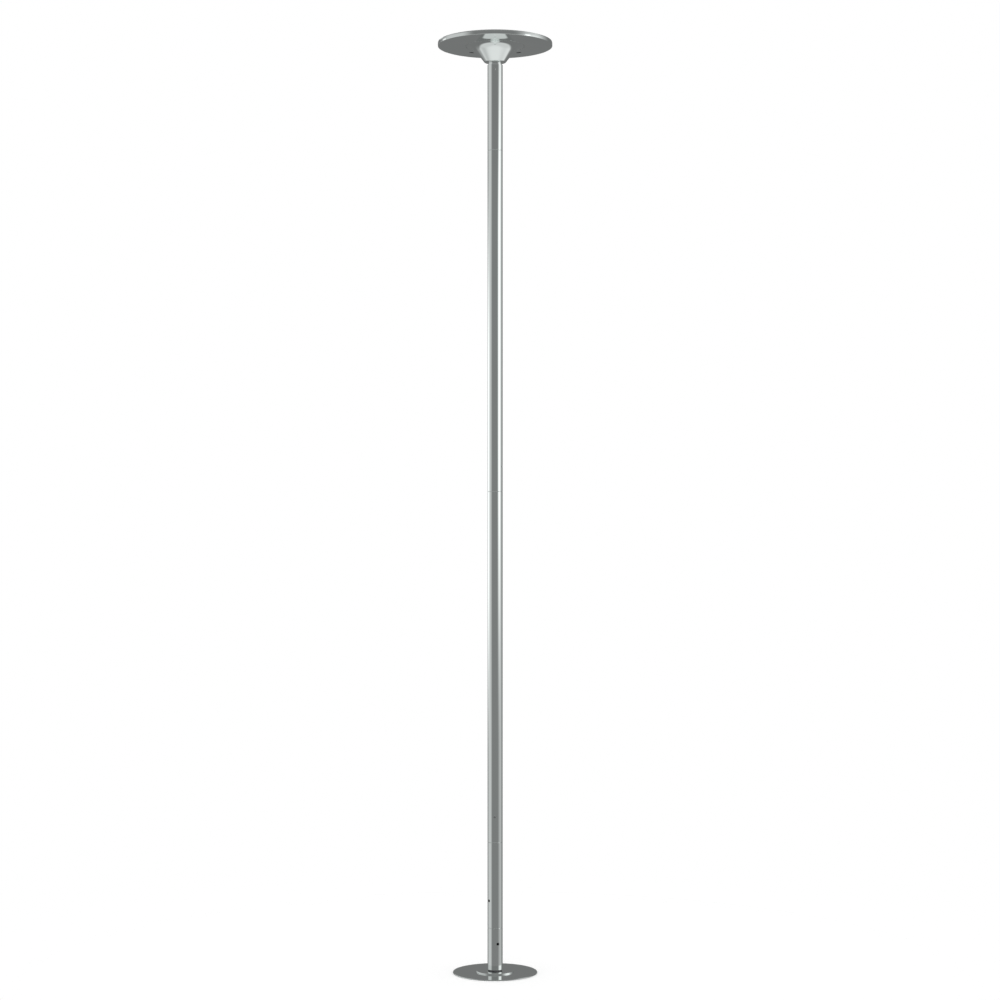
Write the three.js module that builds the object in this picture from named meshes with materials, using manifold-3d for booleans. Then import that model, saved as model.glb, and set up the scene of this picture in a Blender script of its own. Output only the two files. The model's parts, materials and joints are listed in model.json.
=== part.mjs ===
// Dance pole, floor to ceiling, spinning or static. Millimetres, +Z up.
// Origin: centre of the underside, on the floor. -Y is the front, +X the right.
// Five tube sections stand on a bearing post in the base and carry a second bearing
// and a round ceiling plate at the top. The lowest section turns on a jack screw
// that lifts everything above it.

import * as THREE from "three";
import { mergeVertices } from "three/addons/utils/BufferGeometryUtils.js";
import Module from "manifold-3d";

// ---------------------------------------------------------------- driving dimensions

// pole tube
const TUBE_R = 22.5; // 45 mm pole
const BORE_R = 20.5; // 2 mm wall
const FIT_R = 20.2; // outside of everything that slips into the tube
const SEAM = 0.4; // hairline between two sections

// heights of the section ends above the floor
const Z_FOOT = 10.2;
const Z_SEAM_1 = 134.2;
const Z_SEAM_2 = 387.8;
const Z_SEAM_3 = 1428.0;
const Z_SEAM_4 = 2440.2;
const Z_POLE_TOP = 2694.6;

// base
const PAD_R = 121.0;
const PAD_T = 0.7;
const BASE_R = 125.0;
const BASE_Z = 1.0;
const BASE_TOP = 3.1;
const STEP_R = 56.5;
const STEP_TOP = 7.0;

// ball bearing, 20 x 37 x 9
const BRG_BORE = 10.0;
const BRG_OD = 18.5;
const BRG_W = 9.0;
const BRG_PITCH = 14.25;
const BALL_R = 2.45;
const BALLS = 7;
const GAP = 0.3; // clearance kept between touching pieces

// bearing positions (bottom face of each)
const Z_BRG_A = 16.0;
const Z_BRG_B = 62.0;
const Z_TOP_BRG_A = 2676.0;
const Z_TOP_BRG_B = 2640.3;

// adjuster
const JACK_R = 15.0; // 30 mm screw, 6 mm pitch
const JACK_BORE = 10.5;
const Z_JACK = 106.0;
const Z_JACK_TOP = 322.0;
const Z_BLOCK = 77.6;
const Z_BLOCK_TOP = 131.0;
const Z_NUT_TOP = 226.0;

// screws: height and azimuth in degrees from the front, positive to the right
const SCREW_R = 3.8;
const SCREW_HOLE_R = 4.25;
const SCREW_HEX_R = 2.31; // corners of the six-sided socket
const FLUSH_R = 3.1; // the three joiners' screws, level with the tube
const FLUSH_HOLE_R = 3.4;
const FLUSH_HEX_R = 1.73;
const SPIN_LOCK = { z: 88.0, az: 22 };
const LOCK_A = { z: 215.0, az: -55 };
const LOCK_B = { z: 465.0, az: -3 };
const LOCK_C = { z: 1502.5, az: 65 };
const LOCK_D = { z: 2517.0, az: 180 };
const HOUSING_SCREW = { z: 2678.5, az: 0 };

// joiners: bottom and top
const JOIN_1 = [330.0, 478.0];
const JOIN_2 = [1345.0, 1518.0];
const JOIN_3 = [2358.0, 2531.0];
const JOIN_BORE = 14.0;

// ceiling end
const NECK_R = 20.2;
const Z_CUP = 2702.0;
const CUP_T = 2.5;
const CUP_FOOT_R = 32.7; // cone radius at 2 mm above the cup's floor
const CUP_SLOPE = 0.775;
const Z_PLATE = 2750.5;
const PLATE_R = 170.0;
const PLATE_T = 2.0;
const PLATE_CORNER = 1.4;
const Z_RIM = 2762.8;
const CUP_FLARE = 31.0;
const CUP_LIP_R = 86.5;
const CUP_FLANGE_R = 95.0;
const CEIL_PAD_IN = 96.0;
const CEIL_PAD_R = 165.5;
const Z_TOP = 2764.0;
const SLOT_PCD_R = 112.0;
const SLOT_W = 8.0;
const SLOT_ARC = 4.6; // degrees
const SLOT_AZ = [140.6, 219.4]; // far half, from the front

// ---------------------------------------------------------------- helpers

const wasm = await Module();
wasm.setup();

const CHROME = { color: 0xc3c6c5, roughness: 0.07, metalness: 1.0 };
const STEEL = { color: 0x9a9da0, roughness: 0.35, metalness: 1.0 };
const DARK = { color: 0x2b2c2e, roughness: 0.45, metalness: 1.0 };
const BRIGHT = { color: 0xb9bcbe, roughness: 0.2, metalness: 1.0 };
const BRASS = { color: 0xb08d4a, roughness: 0.35, metalness: 1.0 };
const RUBBER = { color: 0x17181a, roughness: 0.9, metalness: 0.0 };
const NYLON = { color: 0xdcd9cf, roughness: 0.6, metalness: 0.0 };

const rad = (deg) => (deg * Math.PI) / 180;

// Turns an (r, z) outline about +Z. An outline that is off the axis is closed on itself.
function turned(outline, segments) {
  const points = outline.map(([r, z]) => new THREE.Vector2(r, z));
  const first = points[0];
  const last = points[points.length - 1];
  if (first.x > 1e-6 || last.x > 1e-6) points.push(first.clone());
  const geometry = new THREE.LatheGeometry(points, segments);
  geometry.rotateX(Math.PI / 2);
  return geometry;
}

function ring(rIn, rOut, z0, z1, segments) {
  return turned(
    [
      [rIn, z0],
      [rOut, z0],
      [rOut, z1],
      [rIn, z1],
    ],
    segments,
  );
}

// Points of an arc in the (r, z) plane, angles in degrees.
function arc(cr, cz, radius, from, to, steps) {
  const out = [];
  for (let i = 0; i <= steps; i++) {
    const a = rad(from + ((to - from) * i) / steps);
    out.push([cr + radius * Math.cos(a), cz + radius * Math.sin(a)]);
  }
  return out;
}

function solid(geometry) {
  const g = geometry.clone();
  g.deleteAttribute("normal");
  g.deleteAttribute("uv");
  const m = mergeVertices(g, 1e-4);
  return new wasm.Manifold(
    new wasm.Mesh({
      numProp: 3,
      vertProperties: new Float32Array(m.attributes.position.array),
      triVerts: new Uint32Array(m.index.array),
    }),
  );
}

function geometryOf(manifold) {
  const mesh = manifold.getMesh();
  const g = new THREE.BufferGeometry();
  g.setAttribute(
    "position",
    new THREE.BufferAttribute(new Float32Array(mesh.vertProperties), 3),
  );
  g.setIndex(new THREE.BufferAttribute(new Uint32Array(mesh.triVerts), 1));
  const flat = g.toNonIndexed();
  flat.computeVertexNormals();
  return flat;
}

function cut(geometry, ...tools) {
  let body = solid(geometry);
  for (const tool of tools) body = body.subtract(solid(tool));
  return geometryOf(body);
}

// A geometry built along +Z, laid along the outward direction at an azimuth, at a height.
function radial(geometry, az, z) {
  const g = geometry.clone();
  g.rotateY(Math.PI / 2); // +Z to +X
  g.rotateZ(rad(az - 90)); // +X to the azimuth, 0 being -Y
  g.translate(0, 0, z);
  return g;
}

// Cutter for a round hole through one wall.
function hole(radius, r0, r1, at, sides = 14) {
  const g = new THREE.CylinderGeometry(radius, radius, r1 - r0, sides);
  g.rotateX(Math.PI / 2);
  g.translate(0, 0, (r0 + r1) / 2);
  return radial(g, at.az, at.z);
}

// Straight tube section.
function tube(z0, z1) {
  return ring(BORE_R, TUBE_R, z0, z1, 28);
}

// Socket set screw, from its tip to its socket end, measured from the pole's axis.
function setScrew(tip, tail, at, radius = SCREW_R, hex = SCREW_HEX_R) {
  const body = turned(
    [
      [0, tip],
      [radius - 1.0, tip],
      [radius, tip + 1.0],
      [radius, tail - 0.5],
      [radius - 0.5, tail],
      [0, tail],
    ],
    14,
  );
  const socket = new THREE.CylinderGeometry(hex, hex, 3.4, 6);
  socket.rotateX(Math.PI / 2);
  socket.translate(0, 0, tail - 2.6 + 1.7);
  return radial(cut(body, socket), at.az, at.z);
}

// Retaining ring with its opening.
function retainingRing(rIn, rOut, z, thickness) {
  const open = rad(16);
  const shape = new THREE.Shape();
  shape.absarc(0, 0, rOut, open, 2 * Math.PI - open, false);
  shape.absarc(0, 0, rIn, 2 * Math.PI - open, open, true);
  shape.closePath();
  const g = new THREE.ExtrudeGeometry(shape, {
    depth: thickness,
    bevelEnabled: false,
    curveSegments: 10,
  });
  g.translate(0, 0, z);
  return g;
}

function innerRace(z) {
  const c = z + BRG_W / 2;
  return turned(
    [
      [BRG_BORE + GAP, z],
      [12.6, z],
      [12.6, c - 2.5],
      [11.5, c - 0.9],
      [11.5, c + 0.9],
      [12.6, c + 2.5],
      [12.6, z + BRG_W],
      [BRG_BORE + GAP, z + BRG_W],
    ],
    18,
  );
}

function outerRace(z) {
  const c = z + BRG_W / 2;
  return turned(
    [
      [15.9, z],
      [BRG_OD, z],
      [BRG_OD, z + BRG_W],
      [15.9, z + BRG_W],
      [15.9, c + 2.5],
      [17.05, c + 0.9],
      [17.05, c - 0.9],
      [15.9, c - 2.5],
    ],
    20,
  );
}

// Balls held by their cage ring, one piece.
function ballCage(z) {
  const c = z + BRG_W / 2;
  let body = solid(ring(13.5, 15.0, c - 1.1, c + 1.1, 14));
  for (let i = 0; i < BALLS; i++) {
    const a = (2 * Math.PI * i) / BALLS;
    const ball = new THREE.IcosahedronGeometry(BALL_R, 0);
    ball.rotateZ(a);
    ball.translate(BRG_PITCH * Math.cos(a), BRG_PITCH * Math.sin(a), c);
    body = body.add(solid(ball));
  }
  return geometryOf(body);
}

const names = new Set();
function piece(parent, name, geometry, look) {
  if (names.has(name)) throw new Error(`two pieces are called ${name}`);
  names.add(name);
  const mesh = new THREE.Mesh(geometry, new THREE.MeshStandardMaterial(look));
  mesh.name = name;
  parent.add(mesh);
  return mesh;
}

// ---------------------------------------------------------------- assembly

const dancePole = new THREE.Group();
const floorEnd = new THREE.Group();
const spinHub = new THREE.Group();
const adjuster = new THREE.Group();
const pole = new THREE.Group();
const ceilingEnd = new THREE.Group();
dancePole.add(floorEnd);
dancePole.add(spinHub);
spinHub.add(adjuster);
spinHub.add(pole);
pole.add(ceilingEnd);

// -------- floor end: stands still

// Anti-slip disc, with an opening around the bolt head.
piece(floorEnd, "base_pad", ring(15, PAD_R, 0, PAD_T, 40), RUBBER);

// Steel disc with rounded edge and a raised round step, countersunk below for the bolt.
piece(
  floorEnd,
  "base_plate",
  turned(
    [
      [6.4, 4.6],
      [11.0, 4.6],
      [11.0, BASE_Z],
      [BASE_R - 0.4, BASE_Z],
      [BASE_R, BASE_Z + 0.4],
      [BASE_R, BASE_TOP - 0.6],
      [BASE_R - 0.6, BASE_TOP],
      [STEP_R, BASE_TOP],
      [STEP_R, STEP_TOP - 1.2],
      [STEP_R - 1.2, STEP_TOP],
      [6.4, STEP_TOP],
    ],
    44,
  ),
  CHROME,
);

// Bolt, head up inside the recess.
piece(
  floorEnd,
  "base_bolt",
  cut(
    turned(
      [
        [0, BASE_Z + 0.1],
        [10.2, BASE_Z + 0.1],
        [10.6, BASE_Z + 0.5],
        [10.6, 4.3],
        [6.0, 4.3],
        [6.0, 27.0],
        [5.0, 28.0],
        [0, 28.0],
      ],
      14,
    ),
    (() => {
      const s = new THREE.CylinderGeometry(4.6, 4.6, 3.0, 6);
      s.rotateX(Math.PI / 2);
      s.translate(0, 0, 2.2);
      return s;
    })(),
  ),
  DARK,
);

// Post: foot flange, bearing seat, retaining groove and the plain land that the
// spin lock grips, with a blind tapped hole from below.
piece(
  floorEnd,
  "base_post",
  turned(
    [
      [0, 33.0],
      [6.4, 31.0],
      [6.4, STEP_TOP + GAP],
      [18.0, STEP_TOP + GAP],
      [18.0, 12.6],
      [12.5, 12.6],
      [12.5, 15.7],
      [BRG_BORE, 15.7],
      [BRG_BORE, 71.2],
      [8.9, 71.2],
      [8.9, 73.0],
      [BRG_BORE, 73.0],
      [BRG_BORE, 100.0],
      [9.0, 101.0],
      [0, 101.0],
    ],
    20,
  ),
  STEEL,
);

piece(floorEnd, "post_seal", ring(18.5, 20.1, STEP_TOP + GAP, 12.5, 28), RUBBER);
piece(floorEnd, "base_bearing_a_inner", innerRace(Z_BRG_A), BRIGHT);
piece(floorEnd, "base_bearing_b_inner", innerRace(Z_BRG_B), BRIGHT);
piece(
  floorEnd,
  "base_spacer",
  ring(BRG_BORE + GAP, 12.3, Z_BRG_A + BRG_W + GAP, Z_BRG_B - GAP, 20),
  STEEL,
);
piece(floorEnd, "post_circlip", retainingRing(9.25, 12.2, 71.4, 1.4), DARK);
piece(floorEnd, "base_bearing_a_cage", ballCage(Z_BRG_A), BRASS);
piece(floorEnd, "base_bearing_b_cage", ballCage(Z_BRG_B), BRASS);

// -------- bearing hub: spins on the post

piece(
  spinHub,
  "hub_housing",
  turned(
    [
      [BRG_OD + GAP, 13.4],
      [FIT_R, 13.4],
      [FIT_R, 75.0],
      [16.9, 75.0],
      [16.9, 71.3],
      [BRG_OD + GAP, 71.3],
    ],
    28,
  ),
  STEEL,
);
piece(spinHub, "base_bearing_a_outer", outerRace(Z_BRG_A), BRIGHT);
piece(spinHub, "base_bearing_b_outer", outerRace(Z_BRG_B), BRIGHT);
piece(spinHub, "hub_washer", ring(13.0, FIT_R, 75.3, 77.3, 24), NYLON);

// -------- height adjuster: turned by hand on the hub

piece(
  adjuster,
  "foot_tube",
  cut(
    tube(Z_FOOT, Z_SEAM_1 - SEAM / 2),
    hole(SCREW_HOLE_R, 17, 26, SPIN_LOCK, 16),
  ),
  CHROME,
);
// Plug with a clearance bore over the post, a seat for the jack screw and the radial
// hole of the spin lock.
piece(
  adjuster,
  "foot_block",
  cut(
    turned(
      [
        [12.6, Z_BLOCK],
        [FIT_R, Z_BLOCK],
        [FIT_R, Z_BLOCK_TOP],
        [JACK_R + 0.35, Z_BLOCK_TOP],
        [JACK_R + 0.35, Z_JACK - GAP],
        [12.6, Z_JACK - GAP],
      ],
      28,
    ),
    hole(SCREW_HOLE_R, 9, 24, SPIN_LOCK, 16),
  ),
  STEEL,
);
// Hollow screw, shown by its crest cylinder with a lead-in at each end.
piece(
  adjuster,
  "jack_screw",
  turned(
    [
      [JACK_BORE, Z_JACK],
      [JACK_R - 1.5, Z_JACK],
      [JACK_R, Z_JACK + 1.5],
      [JACK_R, Z_JACK_TOP - 2.5],
      [JACK_R - 2.5, Z_JACK_TOP],
      [JACK_BORE, Z_JACK_TOP],
    ],
    28,
  ),
  STEEL,
);
piece(adjuster, "spin_lock_screw", setScrew(12.5, 20.4, SPIN_LOCK), DARK);

// -------- pole: rises on the jack screw

piece(
  pole,
  "lower_extension_tube",
  cut(
    tube(Z_SEAM_1 + SEAM / 2, Z_SEAM_2 - SEAM / 2),
    hole(SCREW_HOLE_R, 17, 26, LOCK_A, 16),
  ),
  CHROME,
);
piece(
  pole,
  "lower_main_tube",
  cut(
    tube(Z_SEAM_2 + SEAM / 2, Z_SEAM_3 - SEAM / 2),
    hole(FLUSH_HOLE_R, 17, 26, LOCK_B, 16),
  ),
  CHROME,
);
piece(
  pole,
  "upper_main_tube",
  cut(
    tube(Z_SEAM_3 + SEAM / 2, Z_SEAM_4 - SEAM / 2),
    hole(FLUSH_HOLE_R, 17, 26, LOCK_C, 16),
  ),
  CHROME,
);
piece(
  pole,
  "top_extension_tube",
  cut(
    tube(Z_SEAM_4 + SEAM / 2, Z_POLE_TOP),
    hole(FLUSH_HOLE_R, 17, 26, LOCK_D, 16),
    hole(2.6, 17, 26, HOUSING_SCREW, 12),
  ),
  CHROME,
);

// Threaded insert, shown by its minor bore, with a lead-in at the lower end.
piece(
  pole,
  "jack_nut",
  cut(
    turned(
      [
        [JACK_R + 1.9, Z_SEAM_1 + 0.6],
        [FIT_R, Z_SEAM_1 + 0.6],
        [FIT_R, Z_NUT_TOP],
        [JACK_R + 0.4, Z_NUT_TOP],
        [JACK_R + 0.4, Z_SEAM_1 + 2.1],
      ],
      28,
    ),
    hole(SCREW_HOLE_R, 12, 24, LOCK_A, 16),
  ),
  BRASS,
);

function joiner([z0, z1], at) {
  return cut(
    turned(
      [
        [JOIN_BORE, z0],
        [FIT_R, z0],
        [FIT_R, z1 - 1.5],
        [FIT_R - 1, z1],
        [JOIN_BORE, z1],
      ],
      24,
    ),
    hole(FLUSH_HOLE_R, 10, 24, at, 16),
  );
}
piece(pole, "joiner_lower", joiner(JOIN_1, LOCK_B), STEEL);
piece(pole, "joiner_middle", joiner(JOIN_2, LOCK_C), STEEL);
piece(pole, "joiner_upper", joiner(JOIN_3, LOCK_D), STEEL);

piece(pole, "lock_screw_a", setScrew(16.2, 21.2, LOCK_A), DARK);
piece(
  pole,
  "lock_screw_b",
  setScrew(15.2, 22.2, LOCK_B, FLUSH_R, FLUSH_HEX_R),
  BRIGHT,
);
piece(
  pole,
  "lock_screw_c",
  setScrew(15.2, 22.2, LOCK_C, FLUSH_R, FLUSH_HEX_R),
  BRIGHT,
);
piece(
  pole,
  "lock_screw_d",
  setScrew(15.2, 22.2, LOCK_D, FLUSH_R, FLUSH_HEX_R),
  BRIGHT,
);

// Ceiling bearing sleeve with a shoulder under the lower race.
piece(
  pole,
  "top_bearing_housing",
  cut(
    turned(
      [
        [16.9, 2636.0],
        [FIT_R, 2636.0],
        [FIT_R, 2688.5],
        [BRG_OD + GAP, 2688.5],
        [BRG_OD + GAP, Z_TOP_BRG_B - GAP],
        [16.9, Z_TOP_BRG_B - GAP],
      ],
      28,
    ),
    hole(2.3, 17, 22, HOUSING_SCREW, 12),
  ),
  STEEL,
);
piece(
  pole,
  "housing_screw",
  (() => {
    const body = turned(
      [
        [0, 19.0],
        [1.5, 19.0],
        [1.9, 19.4],
        [1.9, 20.6],
        [2.25, 21.0],
        [2.25, 22.2],
        [1.9, 22.5],
        [0, 22.6],
      ],
      12,
    );
    const socket = new THREE.CylinderGeometry(1.2, 1.2, 2.0, 6);
    socket.rotateX(Math.PI / 2);
    socket.translate(0, 0, 22.4);
    return radial(cut(body, socket), HOUSING_SCREW.az, HOUSING_SCREW.z);
  })(),
  BRIGHT,
);
piece(pole, "top_bearing_a_outer", outerRace(Z_TOP_BRG_A), BRIGHT);
piece(pole, "top_bearing_b_outer", outerRace(Z_TOP_BRG_B), BRIGHT);
piece(pole, "top_bearing_a_cage", ballCage(Z_TOP_BRG_A), BRASS);
piece(pole, "top_bearing_b_cage", ballCage(Z_TOP_BRG_B), BRASS);

// -------- ceiling end: stands still against the ceiling

piece(ceilingEnd, "top_bearing_a_inner", innerRace(Z_TOP_BRG_A), BRIGHT);
piece(ceilingEnd, "top_bearing_b_inner", innerRace(Z_TOP_BRG_B), BRIGHT);
piece(
  ceilingEnd,
  "top_spacer",
  ring(BRG_BORE + GAP, 12.3, Z_TOP_BRG_B + BRG_W + GAP, Z_TOP_BRG_A - GAP, 20),
  STEEL,
);
piece(
  ceilingEnd,
  "spindle_circlip",
  retainingRing(9.25, 12.2, 2638.4, 1.4),
  DARK,
);
// Stepped shaft: retaining groove, bearing seat, shoulder, visible neck, threaded stud.
piece(
  ceilingEnd,
  "top_spindle",
  turned(
    [
      [0, 2634.0],
      [9.0, 2634.0],
      [BRG_BORE, 2635.0],
      [BRG_BORE, 2638.2],
      [8.9, 2638.2],
      [8.9, 2640.0],
      [BRG_BORE, 2640.0],
      [BRG_BORE, 2685.3],
      [12.5, 2685.3],
      [12.5, 2689.6],
      [NECK_R - 0.6, 2689.6],
      [NECK_R, 2690.2],
      [NECK_R, Z_CUP - GAP],
      [8.0, Z_CUP - GAP],
      [8.0, 2721.0],
      [7.0, 2722.0],
      [0, 2722.0],
    ],
    22,
  ),
  CHROME,
);

// Cup: flat floor, rounded foot, straight cone, flared lip and a flange that lies on
// the ceiling plate.
const coneR = (z) => CUP_FOOT_R + CUP_SLOPE * (z - (Z_CUP + 2));
const slopeDeg = (Math.atan2(1, CUP_SLOPE) * 180) / Math.PI; // cone above horizontal
function cupOutline() {
  const flare = CUP_FLARE;
  const foot = 6.0;
  const rAtPlate = coneR(Z_PLATE);
  const t = flare * Math.tan(rad(slopeDeg) / 2);
  const flareC = [rAtPlate + t, Z_PLATE - flare];
  const rAtFloor = coneR(Z_CUP);
  const f = foot * Math.tan(rad(slopeDeg) / 2);
  const footC = [rAtFloor - f, Z_CUP + foot];
  const wall = CUP_T / Math.sin(rad(slopeDeg));
  const outer = [
    [8.5, Z_CUP],
    ...arc(footC[0], footC[1], foot, -90, -90 + slopeDeg, 2),
    ...arc(flareC[0], flareC[1], flare, 90 + slopeDeg, 92, 6),
    [CUP_LIP_R, Z_PLATE],
    [CUP_LIP_R, Z_PLATE + PLATE_T + GAP],
    [CUP_FLANGE_R, Z_PLATE + PLATE_T + GAP],
    [CUP_FLANGE_R, Z_PLATE + PLATE_T + GAP + CUP_T],
  ];
  const top = Z_PLATE + PLATE_T + GAP + CUP_T;
  const inner = [
    [flareC[0] + 0.2, top],
    ...arc(flareC[0], flareC[1], flare + CUP_T, 96, 90 + slopeDeg, 5),
    [coneR(Z_CUP + CUP_T + 1.5) - wall, Z_CUP + CUP_T + 1.5],
    [coneR(Z_CUP + CUP_T + 1.5) - wall - 2.0, Z_CUP + CUP_T],
    [8.5, Z_CUP + CUP_T],
  ];
  return [...outer, ...inner];
}
piece(ceilingEnd, "dome_cup", turned(cupOutline(), 32), CHROME);

piece(ceilingEnd, "spindle_washer", ring(8.5, 15.0, 2704.8, 2706.8, 20), STEEL);
piece(
  ceilingEnd,
  "spindle_nut",
  cut(
    (() => {
      const g = new THREE.CylinderGeometry(13.8, 13.8, 12, 6);
      g.rotateX(Math.PI / 2);
      g.translate(0, 0, 2713.1);
      return g;
    })(),
    (() => {
      const g = new THREE.CylinderGeometry(8.5, 8.5, 20, 20);
      g.rotateX(Math.PI / 2);
      g.translate(0, 0, 2713.1);
      return g;
    })(),
  ),
  BRIGHT,
);

// Curved slot cutter, centred on an azimuth.
function slot(az) {
  const half = rad(SLOT_ARC / 2);
  const mid = rad(az - 90);
  const r0 = SLOT_PCD_R - SLOT_W / 2;
  const r1 = SLOT_PCD_R + SLOT_W / 2;
  const shape = new THREE.Shape();
  const points = [];
  const n = 6;
  for (let i = 0; i <= n; i++) {
    const a = mid - half + (2 * half * i) / n;
    points.push([r1 * Math.cos(a), r1 * Math.sin(a)]);
  }
  for (const end of [1, -1]) {
    const a = mid + end * half;
    const cx = SLOT_PCD_R * Math.cos(a);
    const cy = SLOT_PCD_R * Math.sin(a);
    for (const k of [1, 2, 3]) {
      const b = a + (end > 0 ? 0 : Math.PI) + (k * Math.PI) / 4;
      points.push([cx + (SLOT_W / 2) * Math.cos(b), cy + (SLOT_W / 2) * Math.sin(b)]);
    }
    if (end > 0)
      for (let i = 0; i <= n; i++) {
        const c = mid + half - (2 * half * i) / n;
        points.push([r0 * Math.cos(c), r0 * Math.sin(c)]);
      }
  }
  points.forEach(([x, y], i) => (i ? shape.lineTo(x, y) : shape.moveTo(x, y)));
  shape.closePath();
  const g = new THREE.ExtrudeGeometry(shape, {
    depth: 6,
    bevelEnabled: false,
    steps: 1,
  });
  g.translate(0, 0, Z_PLATE - 2);
  return g;
}

// Ceiling plate: flat, with a rounded, turned-up rim.
piece(
  ceilingEnd,
  "dome_plate",
  cut(
    turned(
      [
        [CUP_LIP_R + 0.4, Z_PLATE],
        ...arc(
          PLATE_R - PLATE_CORNER,
          Z_PLATE + PLATE_CORNER,
          PLATE_CORNER,
          -90,
          0,
          3,
        ),
        [PLATE_R, Z_RIM],
        [PLATE_R - PLATE_T, Z_RIM],
        [PLATE_R - PLATE_T, Z_PLATE + PLATE_T],
        [CUP_LIP_R + 0.4, Z_PLATE + PLATE_T],
      ],
      48,
    ),
    ...SLOT_AZ.map(slot),
  ),
  CHROME,
);

piece(
  ceilingEnd,
  "ceiling_pad",
  ring(CEIL_PAD_IN, CEIL_PAD_R, Z_PLATE + PLATE_T + GAP, Z_TOP, 44),
  RUBBER,
);

export default dancePole;
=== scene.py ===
"""Looks of the dance pole: polished chrome tube, discs and cup, set screws, rubber pads and the works inside."""

import json
import math

import bpy
import numpy as np
from mathutils import Matrix, Vector


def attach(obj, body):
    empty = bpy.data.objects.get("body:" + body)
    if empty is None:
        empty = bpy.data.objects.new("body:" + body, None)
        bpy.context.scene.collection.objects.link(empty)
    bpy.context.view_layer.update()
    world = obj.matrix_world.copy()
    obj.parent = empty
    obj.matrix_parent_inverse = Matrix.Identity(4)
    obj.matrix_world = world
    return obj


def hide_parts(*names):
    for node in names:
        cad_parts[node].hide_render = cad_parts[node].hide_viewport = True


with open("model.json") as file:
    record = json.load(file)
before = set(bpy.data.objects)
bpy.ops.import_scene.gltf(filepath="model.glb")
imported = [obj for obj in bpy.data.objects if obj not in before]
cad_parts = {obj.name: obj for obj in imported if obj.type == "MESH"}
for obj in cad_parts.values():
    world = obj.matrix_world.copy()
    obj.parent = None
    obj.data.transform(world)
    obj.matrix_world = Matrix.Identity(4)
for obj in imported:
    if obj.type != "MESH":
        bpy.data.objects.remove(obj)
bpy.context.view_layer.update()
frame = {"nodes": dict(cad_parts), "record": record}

MM = 0.001
TAU = 2 * math.pi

# ---------------------------------------------------------------- dimensions, mm

TUBE_R, BORE_R, FIT_R = 22.5, 20.5, 20.2
Z_FOOT, Z_SEAM_1, Z_SEAM_2, Z_SEAM_3, Z_SEAM_4, Z_POLE_TOP = (
    10.2,
    134.2,
    387.8,
    1428.0,
    2440.2,
    2694.6,
)
SEAM = 0.26
BASE_R, BASE_Z, BASE_TOP, STEP_R, STEP_TOP = 125.0, 1.0, 3.1, 56.5, 7.0
PAD_R, PAD_T = 121.0, 0.7
JACK_R, JACK_BORE, Z_JACK, Z_JACK_TOP, JACK_PITCH = 15.0, 10.5, 106.0, 322.0, 6.0
NECK_R, Z_CUP, CUP_T, CUP_SLOPE = 20.2, 2702.0, 2.5, 0.775
Z_PLATE, PLATE_R, PLATE_T, Z_RIM = 2750.5, 170.0, 2.0, 2762.8
CUP_LIP_R, CUP_FLANGE_R = 86.5, 95.0
FLARE = 31.0
HOLE_R, FLUSH_HOLE_R = 4.25, 3.4
# height and azimuth from the front, positive to the right
SPIN_LOCK, LOCK_A, LOCK_B, LOCK_C, LOCK_D, HOUSING_SCREW = (
    (88.0, 22.0),
    (215.0, -55.0),
    (465.0, -3.0),
    (1502.5, 65.0),
    (2517.0, 180.0),
    (2678.5, 0.0),
)

# ---------------------------------------------------------------- mesh building


def unit(a, b):
    length = math.hypot(a, b) or 1.0
    return a / length, b / length


def spot(angle, r, z):
    """A point at an azimuth from the front, a radius and a height."""
    return (r * math.sin(angle), -r * math.cos(angle), z)


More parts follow.
